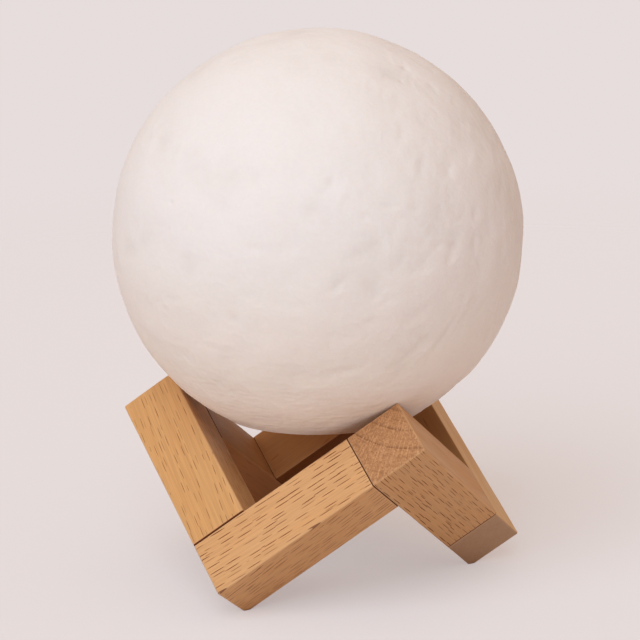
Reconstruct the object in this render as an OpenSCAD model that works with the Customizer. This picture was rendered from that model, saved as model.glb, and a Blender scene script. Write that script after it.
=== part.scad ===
// Moon lamp: a hollow printed moon that rests on a stand of six square beech bars.
// The bars follow six edges of a cube that stands on its corner. Each bar butts against
// the side of the next, so three bar ends make the feet and three carry the moon.
// A twist-lock base unit under the moon holds the light, battery, button and socket.
// Millimetres, +Z up. The origin is on the floor, on the axis of the lamp.

/* [Stand] */
// Side of each square bar
bar_w = 15; // [13:0.5:17]
// Length of each bar
bar_len = 45.6; // [42:0.2:50]
// Chamfer along every edge of a bar
bar_ease = 0.5; // [0.2:0.1:1]
// Height taken off each lowest corner, so that it stands on a small flat
foot_flat = 1; // [0.6:0.1:1.6]
// Diameter of the dowel in each joint
dowel_d = 4; // [3:0.5:6]
// Length of each dowel, half of it in each bar
dowel_len = 18; // [12:1:24]
// Glue space around a dowel
dowel_fit = 0.05; // [0.02:0.01:0.2]
// Glue space past each end of a dowel
dowel_end_gap = 0.5; // [0.2:0.1:1]

/* [Moon] */
// Diameter of the moon
globe_d = 101.4; // [98:0.2:108]
// Wall of the printed shell
globe_wall = 1.8; // [1.4:0.1:2.2]
// Diameter of the flat underneath
flat_d = 49.2; // [47:0.2:54]
// Width of the shell's own rim around its opening
rim_w = 2.6; // [2.4:0.1:3.2]
// Wall of the neck that stands inside the opening
neck_wall = 2.2; // [1.6:0.1:2.4]
// Gap between the moon and the three corners under it
seat_gap = 0.1; // [0.05:0.05:0.3]

/* [Craters] */
// Number of places on the moon that may hold a crater
crater_places = 48; // [20:1:90]
// Radius of the smallest crater
crater_min_r = 1.8; // [1:0.1:2.5]
// Radius of the largest crater
crater_max_r = 5.8; // [4:0.1:6.5]
// How far a crater strays from its even place, in degrees
crater_stray = 7; // [0:1:10]
// How rare the large craters are: 1 makes all sizes as common
crater_rarity = 1.6; // [1:0.1:3]
// Seed of the scattered sizes and places
crater_seed = 11; // [1:1:99]

/* [Twist lock] */
// Glue film around the collar
glue_gap = 0.1; // [0.05:0.05:0.2]
// Wall of the collar
collar_wall = 1.9; // [1.5:0.1:2.2]
// How far the lugs reach over the ledges
lug_reach = 1.4; // [1.2:0.1:1.8]
// Sideways gap between the turning and the fixed parts of the lock
lug_clear = 0.3; // [0.2:0.05:0.5]
// Gap between a lug and the ledge under it
lug_lift = 0.2; // [0.1:0.05:0.4]
// Thickness of a ledge
ledge_t = 1.6; // [1.2:0.1:2.4]
// Thickness of a lug
lug_t = 1.5; // [1.2:0.1:2.4]
// Width of a ledge in degrees
ledge_angle = 40; // [36:1:44]
// Width of a lug in degrees
lug_angle = 30; // [24:1:33]
// Width of the stop at the end of each ledge in degrees
stop_angle = 4; // [3:0.5:4.5]
// Number of lugs and of ledges
lug_count = 3; // [2:1:3]

/* [Base unit] */
// Thickness of the base cover
cover_t = 1.5; // [1.4:0.1:2]
// Gap around the base cover
cover_gap = 0.3; // [0.2:0.05:0.6]
// Height of the ring on the cover that centres it in the cup
spigot_h = 1; // [0.6:0.1:1.6]
// Wall of that ring
spigot_t = 1.1; // [0.8:0.1:1.4]
// Wall of the cup
cup_wall = 1.4; // [1.2:0.1:1.8]
// Thickness of the top of the cup
cup_top_t = 1.5; // [1.2:0.1:2.5]
// Radius of the posts that carry both boards
post_r = 2.1; // [1.9:0.1:2.5]
// Distance from the cup's wall to the centre of a post
post_inset = 3.3; // [3:0.1:3.6]
// Radius of the bosses for the cover's screws
boss_r = 2.1; // [1.9:0.1:2.4]
// Distance from the cup's wall to the centre of a boss
boss_inset = 1.9; // [1.6:0.1:2]
// Depth of the two grip recesses under the cover
grip_depth = 0.8; // [0.5:0.1:0.9]
// Distance of those recesses from the cover's edge
grip_rim = 1.6; // [1:0.1:2]
// How far they reach towards the middle
grip_w = 3.4; // [2.5:0.1:3.6]
// Width of each recess in degrees
grip_angle = 24; // [16:1:36]
// General gap between pieces that are put together
fit_gap = 0.2; // [0.1:0.05:0.3]

/* [Boards] */
// Thickness of the control board
board_t = 1.2; // [1:0.1:1.6]
// Gap between the control board and the cup
board_gap = 0.5; // [0.3:0.1:0.8]
// Gap between the control board and the bosses under it
boss_gap = 0.6; // [0.3:0.1:1]
// Thickness of the light board
led_board_t = 1.2; // [1:0.1:1.6]
// Distance from the edge of the cup's top to the light board
led_board_inset = 2.3; // [1.9:0.1:3]
// Side of a light chip
led_w = 5; // [3:0.5:5.5]
// Height of a light chip
led_h = 1.6; // [1:0.1:2.5]
// Number of light chips
led_count = 4; // [3:1:5]
// Distance of the light chips from the centre
led_ring_r = 7; // [6:0.5:8]

/* [Battery] */
// Thickness of the battery
battery_t = 6; // [5.5:0.1:8]
// Thickness of the foam pad under the battery
pad_t = 1; // [0.6:0.1:2]
// Space between the battery and the cup's wall or posts
battery_gap = 0.8; // [0.6:0.1:1.6]
// Space above the battery
battery_top_gap = 0.6; // [0.4:0.1:1.5]
// Diameter of the wires
wire_d = 0.9; // [0.6:0.1:1.1]

/* [Button] */
// Diameter of the button
button_d = 6.8; // [6:0.1:8]
// Gap around the button
button_gap = 0.15; // [0.1:0.05:0.3]
// How far the button's face lies inside the base
button_recess = 0.4; // [0.2:0.05:0.6]
// How wide the button's inner flange is
button_flange_w = 0.9; // [0.6:0.1:1.2]
// Thickness of that flange
button_flange_t = 0.8; // [0.6:0.1:1]
// Travel of the button
button_travel = 0.5; // [0.3:0.05:0.5]
// Radius of the button's crowned face
button_crown_r = 22; // [15:1:40]
// Width of the finger dish around the button
dish_w = 2.4; // [1.5:0.1:3]
// Depth of the finger dish
dish_depth = 0.7; // [0.4:0.1:0.8]
// Side of the switch under the button
switch_w = 6; // [5:0.1:6.5]
// Height of the switch
switch_h = 3.5; // [3:0.1:3.6]
// Diameter of the switch's plunger
plunger_d = 3.4; // [2.5:0.1:3.6]
// Length of the plunger inside the switch
plunger_in = 1.1; // [0.8:0.1:1.3]
// Distance of the button from the centre
button_y = -6.4; // [-7.5:0.1:-5.5]

/* [Charging socket] */
// Length of the socket's mouth, outside
socket_l = 8.94; // [8.5:0.02:9.4]
// Width of the socket's mouth, outside
socket_w = 3.26; // [3:0.02:3.6]
// Height of the socket
socket_h = 6.6; // [6.4:0.1:8]
// Wall of the socket's shell
socket_wall = 0.3; // [0.2:0.05:0.4]
// How far the mouth lies inside the base
socket_recess = 0.2; // [0.1:0.1:0.5]
// Length of the socket's tongue
tongue_l = 6.7; // [6.4:0.05:7]
// Thickness of the tongue
tongue_t = 0.7; // [0.6:0.05:0.9]
// Height of the tongue
tongue_h = 4.6; // [4.2:0.1:4.8]
// Height of the block behind the tongue
tongue_block_h = 1.2; // [0.8:0.1:1.4]
// Distance of the socket from the centre
socket_y = 6.6; // [6:0.1:7.2]

/* [Indicator] */
// Diameter of the indicator's face
lens_d = 2; // [1.5:0.1:2.6]
// Width of the flange that holds it in
lens_flange_w = 0.6; // [0.4:0.1:1]
// Thickness of that flange
lens_flange_t = 0.8; // [0.6:0.1:1.2]
// Height of the small light over it
lens_led_h = 0.6; // [0.4:0.1:0.8]
// Distance of the indicator from the centre
lens_x = 8; // [7:0.1:9]

/* [Screws] */
// Diameter of the screws' threads
screw_d = 2; // [1.6:0.1:2.2]
// Diameter of the screws' heads
head_d = 3.6; // [3.2:0.1:3.8]
// Height of a pan head
head_h = 1.1; // [0.9:0.1:1.4]
// Height of a countersunk head
sink_h = 1; // [0.8:0.1:1.1]
// Length of a screw in the plastic that it holds
screw_grip = 3.4; // [3:0.1:3.6]
// Gap around and under a screw
screw_gap = 0.1; // [0.05:0.05:0.15]
// Length of the slots of a cross recess
cross_l = 2; // [1.5:0.1:2.2]
// Width and depth of those slots
cross_w = 0.5; // [0.3:0.1:0.7]

/* [Hidden] */

$fn = 64;
globe_fn = 128;
cut = 0.01;          // how far a cutting shape passes the face it cuts
third = 120;         // the stand repeats three times about its axis

// Stand: the cube that the bars follow, and the heights that it gives
cube_side = bar_len + bar_w;
tilt = asin(1 / sqrt(3));
stand_drop = bar_len / sqrt(3) + foot_flat;

// Moon: its centre lies on the cube's diagonal, at the distance that brings its surface
// seat_gap above the corner (seat_far, bar_w, seat_far) of each prong
globe_r = globe_d / 2;
seat_far = cube_side - bar_ease;
seat_r = globe_r + seat_gap;
seat_b = 4 * seat_far + 2 * bar_w;
seat_c = 2 * seat_far ^ 2 + bar_w ^ 2 - seat_r ^ 2;
seat_s = (seat_b + sqrt(seat_b ^ 2 - 12 * seat_c)) / 6;
globe_z = seat_s * sqrt(3) - stand_drop;
flat_r = flat_d / 2;
base_z = globe_z - sqrt(globe_r ^ 2 - flat_r ^ 2);

// Twist lock, from the opening inwards and from the flat upwards
opening_r = flat_r - rim_w;
collar_r = opening_r - glue_gap;
collar_in_r = collar_r - collar_wall;
lug_r = collar_in_r - lug_clear;
cup_r = lug_r - lug_reach;
ledge_in_r = cup_r + lug_clear;
ledge_z = cover_t + lug_lift;
lug_z = ledge_z + ledge_t + lug_lift;
collar_top = lug_z + lug_t + lug_clear;
lug_start = stop_angle + 1;

// Base unit, as heights above the flat
cup_in_r = cup_r - cup_wall;
board_z = socket_recess + socket_h;
pad_z = board_z + board_t;
battery_z = pad_z + pad_t;
cup_ceiling = battery_z + battery_t + battery_top_gap;
cup_top = cup_ceiling + cup_top_t;
led_z = cup_top + led_board_t;
post_y = cup_in_r - post_inset;
boss_at = cup_in_r - boss_inset;
boss_top = board_z - boss_gap;
boss_turns = [60, 180, 300];
board_r = cup_in_r - board_gap;
led_board_r = cup_r - led_board_inset;
battery_w = 2 * (post_y - post_r - battery_gap - fit_gap);
battery_l = 2 * sqrt((cup_in_r - battery_gap) ^ 2 - (battery_w / 2) ^ 2);
screw_r = screw_d / 2;
head_r = head_d / 2;
pilot_r = screw_r + screw_gap;
wire_r = wire_d / 2;
wire_bend = 1.2;     // radius of the bend of a battery wire
wire_out = 0.7;      // straight length between the battery and that bend
wire_y = 2.4;        // how far each battery wire lies from the middle
wire_rise = 3.6;     // how far above the battery's underside its wires leave it
wire_z = battery_z + wire_rise;
led_wire_x = -5.6;   // where the wires to the light board go up
led_wire_pitch = 1.3;
led_wire_in = 0.8;   // how much nearer to the middle than a post's centre they are
led_wire_y = post_y - led_wire_in;
wire_hole_r = led_wire_pitch / 2 + wire_d;

// Button and switch, as heights above the flat
button_r = button_d / 2;
switch_z = board_z - switch_h;
flange_z = cover_t + button_gap;
plunger_z = flange_z + button_flange_t;
plunger_r = plunger_d / 2;
plunger_fit = 0.08;  // running gap of the plunger in its switch
lens_r = lens_d / 2;
lens_led_l = 1.6;    // length and width of the small light over the indicator
lens_led_w = 0.8;

// Small parts under the control board: x, y, length, width and height
board_part_list = [
    [-6.2, -1.2, 4, 4, 0.9],
    [-9.6, 5.4, 4, 4, 2],
    [-9.4, -5.6, 2, 1.2, 1.1],
    [-11.6, -2.4, 1.2, 2, 1.1],
    [2.2, 1.4, 1.6, 0.8, 0.5],
    [2.2, -0.6, 1.6, 0.8, 0.5],
    [6.6, -8.2, 2, 1.2, 1.1],
];

beech = [0.80, 0.58, 0.38];
beech_dark = [0.74, 0.52, 0.34];

// ---------- shared shapes ----------

// Places a child drawn in the cube's own axes, turned by a third of a turn as often as wanted
module in_stand(turns = 0) {
    rotate([0, 0, third * turns])
    translate([0, 0, -stand_drop])
    rotate([45, -tilt, 0])
    children();
}

// Places a child drawn above the flat under the moon
module at_base(height = 0) {
    translate([0, 0, base_z + height]) children();
}

// A square with its four corners cut off
module eased_square(w, h) {
    polygon([
        [bar_ease, 0], [w - bar_ease, 0], [w, bar_ease], [w, h - bar_ease],
        [w - bar_ease, h], [bar_ease, h], [0, h - bar_ease], [0, bar_ease],
    ]);
}

// A ring of the given height with straight walls
module ring(outer_r, inner_r, h) {
    difference() {
        cylinder(r = outer_r, h = h);
        translate([0, 0, -cut]) cylinder(r = inner_r, h = h + 2 * cut);
    }
}

// Part of such a ring, from one angle to another
module ring_part(outer_r, inner_r, h, from, to) {
    rotate([0, 0, from])
    rotate_extrude(angle = to - from, $fn = 96)
    translate([inner_r, 0])
    square([outer_r - inner_r, h]);
}

// A slot outline with fully round ends
module stadium(l, w) {
    square([l - w, w], center = true);
    for (side = [-1, 1]) translate([side * (l - w) / 2, 0]) circle(d = w, $fn = 32);
}

// The cross recess in a screw's head, cut downwards from z = 0
module cross_recess(depth) {
    for (turn = [0, 90]) {
        rotate([0, 0, turn])
        translate([0, 0, -depth / 2])
        cube([cross_l, cross_w, depth + 2 * cut], center = true);
    }
}

// A pan-head screw: its head stands on z = 0, its thread goes down
module pan_screw(through) {
    difference() {
        union() {
            cylinder(r = head_r, h = head_h, $fn = 32);
            translate([0, 0, -through - screw_grip])
            cylinder(r = screw_r, h = through + screw_grip + cut, $fn = 32);
        }
        translate([0, 0, head_h]) cross_recess(cross_w);
    }
}

// A countersunk screw: the face of its head lies on z = 0, its thread goes down
module sunk_screw(through) {
    difference() {
        union() {
            translate([0, 0, -sink_h]) cylinder(r1 = screw_r, r2 = head_r, h = sink_h, $fn = 32);
            translate([0, 0, -through - screw_grip])
            cylinder(r = screw_r, h = through + screw_grip - sink_h / 2, $fn = 32);
        }
        cross_recess(cross_w);
    }
}

module at_bosses() {
    for (turn = boss_turns) rotate([0, 0, turn]) translate([boss_at, 0, 0]) children();
}

module at_posts() {
    for (side = [-1, 1]) translate([0, side * post_y, 0]) children();
}

module at_lugs() {
    for (i = [0 : lug_count - 1]) rotate([0, 0, i * 360 / lug_count]) children();
}

// ---------- stand ----------

// One bar, from its free end at x = 0 to the end that butts against the next bar.
// The next bar but one meets it at the side, where the second hole is.
module bar() {
    hole_r = dowel_d / 2 + dowel_fit;
    hole_l = dowel_len / 2 + dowel_end_gap;
    difference() {
        intersection() {
            rotate([90, 0, 90]) linear_extrude(bar_len) eased_square(bar_w, bar_w);
            translate([0, bar_w, 0]) rotate([90, 0, 0]) linear_extrude(bar_w) eased_square(bar_len, bar_w);
            linear_extrude(bar_w) eased_square(bar_len, bar_w);
        }
        translate([bar_len - hole_l, bar_w / 2, bar_w / 2])
        rotate([0, 90, 0])
        cylinder(r = hole_r, h = hole_l + cut, $fn = 32);
        translate([bar_w / 2, bar_w + cut, bar_w / 2])
        rotate([90, 0, 0])
        cylinder(r = hole_r, h = hole_l + cut, $fn = 32);
    }
}

// The bars that stand on the floor: their free ends are the feet
module foot_bar(turns) {
    difference() {
        in_stand(turns) translate([0, 0, bar_len]) bar();
        translate([0, 0, -bar_w / 2]) cube([4 * bar_len, 4 * bar_len, bar_w], center = true);
    }
}

// The bars that carry the moon: their free ends point up
module prong_bar(turns) {
    in_stand(turns) translate([cube_side, 0, cube_side]) rotate([0, 90, 90]) bar();
}

module foot_bar_front() { color(beech) foot_bar(0); }
module foot_bar_right() { color(beech) foot_bar(1); }
module foot_bar_rear() { color(beech) foot_bar(2); }
module prong_bar_front() { color(beech_dark) prong_bar(0); }
module prong_bar_rear() { color(beech_dark) prong_bar(1); }
module prong_bar_left() { color(beech_dark) prong_bar(2); }

// One dowel in each of the six joints, along the bar that butts there
module joint_dowels() {
    middle = bar_w / 2;
    color("burlywood") for (turns = [0 : 2]) in_stand(turns) {
        translate([bar_len - dowel_len / 2, middle, bar_len + middle])
        rotate([0, 90, 0])
        cylinder(d = dowel_d, h = dowel_len, $fn = 32);
        translate([bar_len + middle, middle, bar_w - dowel_len / 2])
        cylinder(d = dowel_d, h = dowel_len, $fn = 32);
    }
}

// ---------- moon ----------

// Directions that stay smooth: the opening, the three seats and the widest points
function unit(v) = v / norm(v);
function toward(polar, turn) = [sin(polar) * cos(turn), sin(polar) * sin(turn), cos(polar)];
seat_polar = acos((globe_z - (2 * seat_far + bar_w) / sqrt(3) + stand_drop) / -seat_r);
flat_polar = 180 - asin(flat_r / globe_r);
function smooth_spots() = concat(
    [for (i = [0 : 2]) toward(seat_polar, 60 + third * i)],
    [for (i = [0 : 3]) toward(90, 90 * i)],
    [toward(0, 0)]
);
crater_rim_gap = 3;  // degrees kept clear between a crater and the flat
crater_spot_gap = 2; // and between a crater and a smooth spot
function crater_fits(way, r) =
    acos(way[2]) + asin(r / globe_r) < flat_polar - crater_rim_gap
    && min([for (spot = smooth_spots()) acos(min(1, way * spot))]) > asin(r / globe_r) + crater_spot_gap;

// A number from 0 to 1 that looks random, but is the same in every program
scatter_step = 78.233;
scatter_shift = 37.719;
scatter_gain = 437.585;
function part_of_one(v) = v - floor(v);
function scatter(i, seed) = part_of_one(sin(i * scatter_step + seed * scatter_shift) * scatter_gain);

// Craters lie along a spiral from pole to pole, each strayed a little from its even place.
// Each is a dish with the moon's own curve turned inwards.
module craters() {
    golden_turn = 180 * (3 - sqrt(5));
    for (i = [0 : crater_places - 1]) {
        r = crater_min_r + (crater_max_r - crater_min_r) * scatter(i, crater_seed) ^ crater_rarity;
        polar_stray = crater_stray * (2 * scatter(i, crater_seed + 1) - 1);
        turn_stray = crater_stray * (2 * scatter(i, crater_seed + 2) - 1);
        polar = acos(1 - (2 * i + 1) / crater_places) + polar_stray;
        way = toward(polar, golden_turn * i + turn_stray);
        rim_depth = globe_r - sqrt(globe_r ^ 2 - r ^ 2);
        if (crater_fits(way, r)) {
            translate(way * 2 * (globe_r - rim_depth)) sphere(r = globe_r, $fn = globe_fn);
        }
    }
}

// The shell is open underneath, where a neck stands inside it around the opening
module moon_shell() {
    color("linen") translate([0, 0, globe_z]) difference() {
        sphere(r = globe_r, $fn = globe_fn);
        difference() {
            sphere(r = globe_r - globe_wall, $fn = globe_fn);
            translate([0, 0, -globe_r])
            cylinder(r = opening_r + neck_wall, h = base_z - globe_z + collar_top + globe_r, $fn = 96);
        }
        translate([0, 0, -globe_r]) cylinder(r = opening_r, h = globe_r, $fn = 96);
        translate([0, 0, base_z - globe_z - globe_r])
        cube([2 * globe_r, 2 * globe_r, 2 * globe_r], center = true);
        craters();
    }
}

// The collar is glued into the neck. Its ledges carry the lugs of the cup.
module collar_ring() {
    color("white") at_base(ledge_z) {
        ring(collar_r, collar_in_r, collar_top - ledge_z, $fn = 96);
        at_lugs() {
            ring_part(collar_in_r + cut, ledge_in_r, ledge_t, 0, ledge_angle);
            ring_part(collar_in_r + cut, ledge_in_r, collar_top - ledge_z, 0, stop_angle);
        }
    }
}

// ---------- base unit ----------

// The cup hangs in the collar by its lugs and holds the battery and both boards
module base_cup() {
    screw_hole = screw_grip + screw_gap;
    color("ghostwhite") at_base() difference() {
        union() {
            difference() {
                translate([0, 0, cover_t]) cylinder(r = cup_r, h = cup_top - cover_t, $fn = 96);
                translate([0, 0, cover_t - cut])
                cylinder(r = cup_in_r, h = cup_ceiling - cover_t + cut, $fn = 96);
            }
            translate([0, 0, lug_z]) at_lugs()
            ring_part(lug_r, cup_in_r + cup_wall / 2, lug_t, lug_start, lug_start + lug_angle);
            at_posts() translate([0, 0, pad_z]) cylinder(r = post_r, h = cup_ceiling - pad_z + cut);
            intersection() {
                at_bosses() translate([0, 0, cover_t]) cylinder(r = boss_r, h = boss_top - cover_t);
                cylinder(r = cup_in_r + cup_wall / 2, h = cup_top);
            }
        }
        at_posts() {
            translate([0, 0, pad_z - cut]) cylinder(r = pilot_r, h = screw_hole, $fn = 32);
            translate([0, 0, cup_top - screw_hole]) cylinder(r = pilot_r, h = screw_hole + cut, $fn = 32);
        }
        at_bosses() translate([0, 0, cover_t - cut]) cylinder(r = pilot_r, h = screw_hole, $fn = 32);
        translate([led_wire_x, led_wire_y, cup_ceiling - cut])
        cylinder(r = wire_hole_r, h = cup_top_t + 2 * cut, $fn = 32);
    }
}

// The cover closes the cup from below, flush with the moon's rim
module base_cover() {
    grip_out = cover_r() - grip_rim;
    grip_in = grip_out - grip_w;
    grip_half = grip_angle / 2;
    color("gainsboro") at_base() difference() {
        union() {
            cylinder(r = cover_r(), h = cover_t, $fn = 96);
            translate([0, 0, cover_t - cut]) difference() {
                ring(cup_in_r - fit_gap, cup_in_r - fit_gap - spigot_t, spigot_h + cut);
                at_bosses() translate([0, 0, -cut]) cylinder(r = boss_r + fit_gap, h = spigot_h + 3 * cut);
            }
        }
        at_bosses() {
            translate([0, 0, -cut]) cylinder(r = pilot_r, h = cover_t + 2 * cut, $fn = 32);
            translate([0, 0, -cut])
            cylinder(r1 = head_r + screw_gap, r2 = pilot_r, h = sink_h + screw_gap, $fn = 32);
        }
        translate([0, button_y, -cut]) {
            cylinder(r = button_r + button_gap, h = cover_t + 2 * cut);
            cylinder(r1 = button_r + dish_w, r2 = button_r + dish_w / 2, h = dish_depth);
        }
        translate([0, socket_y, -cut])
        linear_extrude(cover_t + 2 * cut)
        stadium(socket_l + 2 * fit_gap, socket_w + 2 * fit_gap);
        translate([lens_x, 0, -cut]) cylinder(r = lens_r + screw_gap, h = cover_t + 2 * cut, $fn = 32);
        for (turn = [0, 180]) {
            translate([0, 0, -cut])
            ring_part(grip_out, grip_in, grip_depth, turn - grip_half, turn + grip_half);
        }
    }
}
function cover_r() = opening_r - cover_gap;

module cover_screws() {
    color("silver") at_base() at_bosses() rotate([180, 0, 0]) sunk_screw(cover_t);
}

// ---------- control board ----------

module control_board() {
    color("seagreen") at_base(board_z) difference() {
        cylinder(r = board_r, h = board_t);
        at_posts() translate([0, 0, -cut]) cylinder(r = pilot_r, h = board_t + 2 * cut, $fn = 32);
        at_bosses() translate([0, 0, -cut]) cylinder(r = boss_r + fit_gap, h = board_t + 2 * cut);
    }
}

module board_screws() {
    color("silver") at_base(board_z) at_posts() rotate([180, 0, 0]) pan_screw(board_t);
}

// Chips, a coil, small capacitors and resistors, with the light over the indicator
module board_parts() {
    color("dimgray") at_base(board_z) {
        for (part = board_part_list) {
            translate([part[0], part[1], -part[4] / 2])
            cube([part[2], part[3], part[4]], center = true);
        }
        translate([lens_x, 0, -lens_led_h / 2]) cube([lens_led_w, lens_led_l, lens_led_h], center = true);
    }
}

module tact_switch() {
    color("black") at_base(switch_z) translate([0, button_y, 0]) difference() {
        translate([0, 0, switch_h / 2]) cube([switch_w, switch_w, switch_h], center = true);
        translate([0, 0, -cut])
        cylinder(r = plunger_r + plunger_fit, h = plunger_in + button_travel + fit_gap);
    }
}

// The metal shell of the socket, open underneath
module socket_shell() {
    color("silver") at_base(socket_recess) translate([0, socket_y, 0]) difference() {
        linear_extrude(socket_h) stadium(socket_l, socket_w);
        translate([0, 0, -cut])
        linear_extrude(socket_h - socket_wall)
        stadium(socket_l - 2 * socket_wall, socket_w - 2 * socket_wall);
    }
}

// The tongue with its contacts, on the block that fills the back of the shell
module socket_tongue() {
    back = socket_recess + socket_h - socket_wall - cut;
    color("black") at_base() translate([0, socket_y, 0]) {
        translate([0, 0, back - tongue_block_h])
        linear_extrude(tongue_block_h)
        stadium(socket_l - 2 * socket_wall - cut, socket_w - 2 * socket_wall - cut);
        translate([-tongue_l / 2, -tongue_t / 2, back - tongue_block_h - tongue_h])
        cube([tongue_l, tongue_t, tongue_h + cut]);
    }
}

// A clear stud that shows the charging light in the cover
module indicator_lens() {
    color("white") at_base() translate([lens_x, 0, 0]) {
        cylinder(r = lens_r, h = board_z - lens_led_h - screw_gap, $fn = 32);
        translate([0, 0, cover_t + screw_gap])
        cylinder(r = lens_r + lens_flange_w, h = lens_flange_t, $fn = 32);
    }
}

// ---------- battery ----------

module battery_cell() {
    color("lightsteelblue") at_base(battery_z)
    translate([0, 0, battery_t / 2])
    cube([battery_l, battery_w, battery_t], center = true);
}

module battery_pad() {
    color("dimgray") at_base(pad_z)
    translate([0, 0, pad_t / 2])
    cube([battery_l, battery_w, pad_t] - [battery_gap, battery_gap, 0] * 2, center = true);
}

// Each wire leaves the end of the battery and bends down to the control board
module battery_wires() {
    for (side = [-1, 1]) {
        color(side > 0 ? "firebrick" : "black") at_base(wire_z)
        translate([battery_l / 2, side * wire_y, 0]) {
            rotate([0, 90, 0]) cylinder(r = wire_r, h = wire_out, $fn = 24);
            translate([wire_out, 0, -wire_bend])
            rotate([90, 0, 0])
            rotate_extrude(angle = 90, $fn = 32)
            translate([wire_bend, 0])
            circle(r = wire_r, $fn = 24);
            translate([wire_out + wire_bend, 0, pad_z - wire_z])
            cylinder(r = wire_r, h = wire_z - pad_z - wire_bend, $fn = 24);
        }
    }
}

// ---------- light ----------

module led_board() {
    color("white") at_base(cup_top) difference() {
        cylinder(r = led_board_r, h = led_board_t);
        at_posts() translate([0, 0, -cut]) cylinder(r = pilot_r, h = led_board_t + 2 * cut, $fn = 32);
    }
}

module led_chips() {
    color("khaki") at_base(led_z) for (i = [0 : led_count - 1]) {
        rotate([0, 0, (i + 0.5) * 360 / led_count])
        translate([led_ring_r, 0, led_h / 2])
        cube([led_w, led_w, led_h], center = true);
    }
}

module led_screws() {
    color("silver") at_base(led_z) at_posts() pan_screw(led_board_t);
}

module led_wires() {
    for (side = [-1, 1]) {
        color(side > 0 ? "firebrick" : "black") at_base(pad_z)
        translate([led_wire_x + side * led_wire_pitch / 2, led_wire_y, 0])
        cylinder(r = wire_r, h = cup_top - pad_z, $fn = 24);
    }
}

// ---------- button ----------

// The button's crowned face lies in the finger dish, its flange behind the cover
module power_button() {
    color("silver") at_base() translate([0, button_y, 0]) {
        intersection() {
            translate([0, 0, button_recess]) cylinder(r = button_r, h = plunger_z - button_recess);
            translate([0, 0, button_recess + button_crown_r]) sphere(r = button_crown_r, $fn = 96);
        }
        translate([0, 0, flange_z]) cylinder(r = button_r + button_flange_w, h = button_flange_t);
    }
}

module switch_plunger() {
    color("dimgray") at_base(plunger_z) translate([0, button_y, 0])
    cylinder(r = plunger_r, h = switch_z - plunger_z + plunger_in);
}

foot_bar_front();
foot_bar_right();
foot_bar_rear();
prong_bar_front();
prong_bar_rear();
prong_bar_left();
joint_dowels();
moon_shell();
collar_ring();
base_cup();
base_cover();
cover_screws();
control_board();
board_screws();
board_parts();
tact_switch();
socket_shell();
socket_tongue();
indicator_lens();
battery_cell();
battery_pad();
battery_wires();
led_board();
led_chips();
led_screws();
led_wires();
power_button();
switch_plunger();
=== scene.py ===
# %% [markdown]
# # A moon lamp on six beech bars
# This lesson dresses a small moon lamp. The lamp itself is already built as exact solids: a hollow printed
# moon, a stand of six square bars, and a base unit with its light, battery, button and socket. Those solids
# are loaded as a fixed frame, so nothing here moves or resizes them. What is added is the finish: a moon
# surface with real relief, beech with its grain and flecks, and a material for every hidden piece.

# %% Load the frame
import math

import bmesh
import bpy
import numpy as np
from mathutils import Matrix, Vector, noise


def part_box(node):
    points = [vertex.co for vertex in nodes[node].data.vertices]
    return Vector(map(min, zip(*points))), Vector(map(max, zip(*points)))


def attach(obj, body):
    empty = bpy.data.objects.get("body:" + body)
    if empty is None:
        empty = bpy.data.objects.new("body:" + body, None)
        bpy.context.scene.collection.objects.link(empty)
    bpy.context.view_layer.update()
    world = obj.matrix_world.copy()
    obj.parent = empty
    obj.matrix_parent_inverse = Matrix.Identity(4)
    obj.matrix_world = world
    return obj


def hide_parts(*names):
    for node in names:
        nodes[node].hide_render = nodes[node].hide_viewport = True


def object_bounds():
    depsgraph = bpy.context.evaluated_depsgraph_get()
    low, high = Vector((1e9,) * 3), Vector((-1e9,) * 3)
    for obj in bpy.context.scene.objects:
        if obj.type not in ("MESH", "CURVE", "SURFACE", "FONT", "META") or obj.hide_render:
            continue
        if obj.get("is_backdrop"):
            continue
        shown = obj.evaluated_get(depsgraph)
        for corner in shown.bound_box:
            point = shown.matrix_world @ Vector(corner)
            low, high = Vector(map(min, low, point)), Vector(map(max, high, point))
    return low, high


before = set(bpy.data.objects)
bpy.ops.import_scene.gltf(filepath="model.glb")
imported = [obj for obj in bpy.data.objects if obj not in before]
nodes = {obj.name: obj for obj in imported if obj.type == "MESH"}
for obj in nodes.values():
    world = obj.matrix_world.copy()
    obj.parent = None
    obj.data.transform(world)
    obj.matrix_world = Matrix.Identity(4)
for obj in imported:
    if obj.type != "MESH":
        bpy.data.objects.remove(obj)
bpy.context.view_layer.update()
MM = 0.001

# %% [markdown]
# ## Sizes
# The moon's centre, radius and flat come straight from its solid. The bars follow six edges of a cube that
# stands on its corner, so their places follow from the side and the length of one bar.

# %% Sizes of the moon and the bars
moon_low, moon_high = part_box("moon_shell")
moon_r = (moon_high.x - moon_low.x) / 2
moon_z = moon_high.z - moon_r
flat_z = moon_low.z
collar_low, collar_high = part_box("collar_ring")
glue_gap = 0.1 * MM
opening_r = (collar_high.x - collar_low.x) / 2 + glue_gap
neck_top = collar_high.z

bar_w = 15 * MM
bar_len = 45.6 * MM
bar_round = 0.5 * MM      # rounding of the bar's edges
butt_extra = 0.36 * MM    # the mesh starts this much longer, and is then cut flat at the joint
foot_flat = 1 * MM        # how much of each foot's corner is cut off, to stand on
cube_side = bar_w + bar_len
stand_drop = bar_len / math.sqrt(3) + foot_flat
print("moon radius %.1f mm, centre %.1f mm above the floor" % (moon_r / MM, moon_z / MM))

# %% [markdown]
# ## Camera
# A long lens a little above the lamp, as for a catalogue picture. The place and the angles were worked out
# from the corners of the bars, so the picture's perspective is the photograph's own. The camera comes first,
# because some marks on the moon are placed by where they are seen.

# %% Camera
picture_px = 640     # the photograph is square
focal_px = 2502.7
camera_place = Vector((9.05, -605.1, 207.1)) * MM
camera_pitch = math.radians(13.302)
camera_heading = math.radians(0.841)
camera_roll = math.radians(-1.096)

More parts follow.
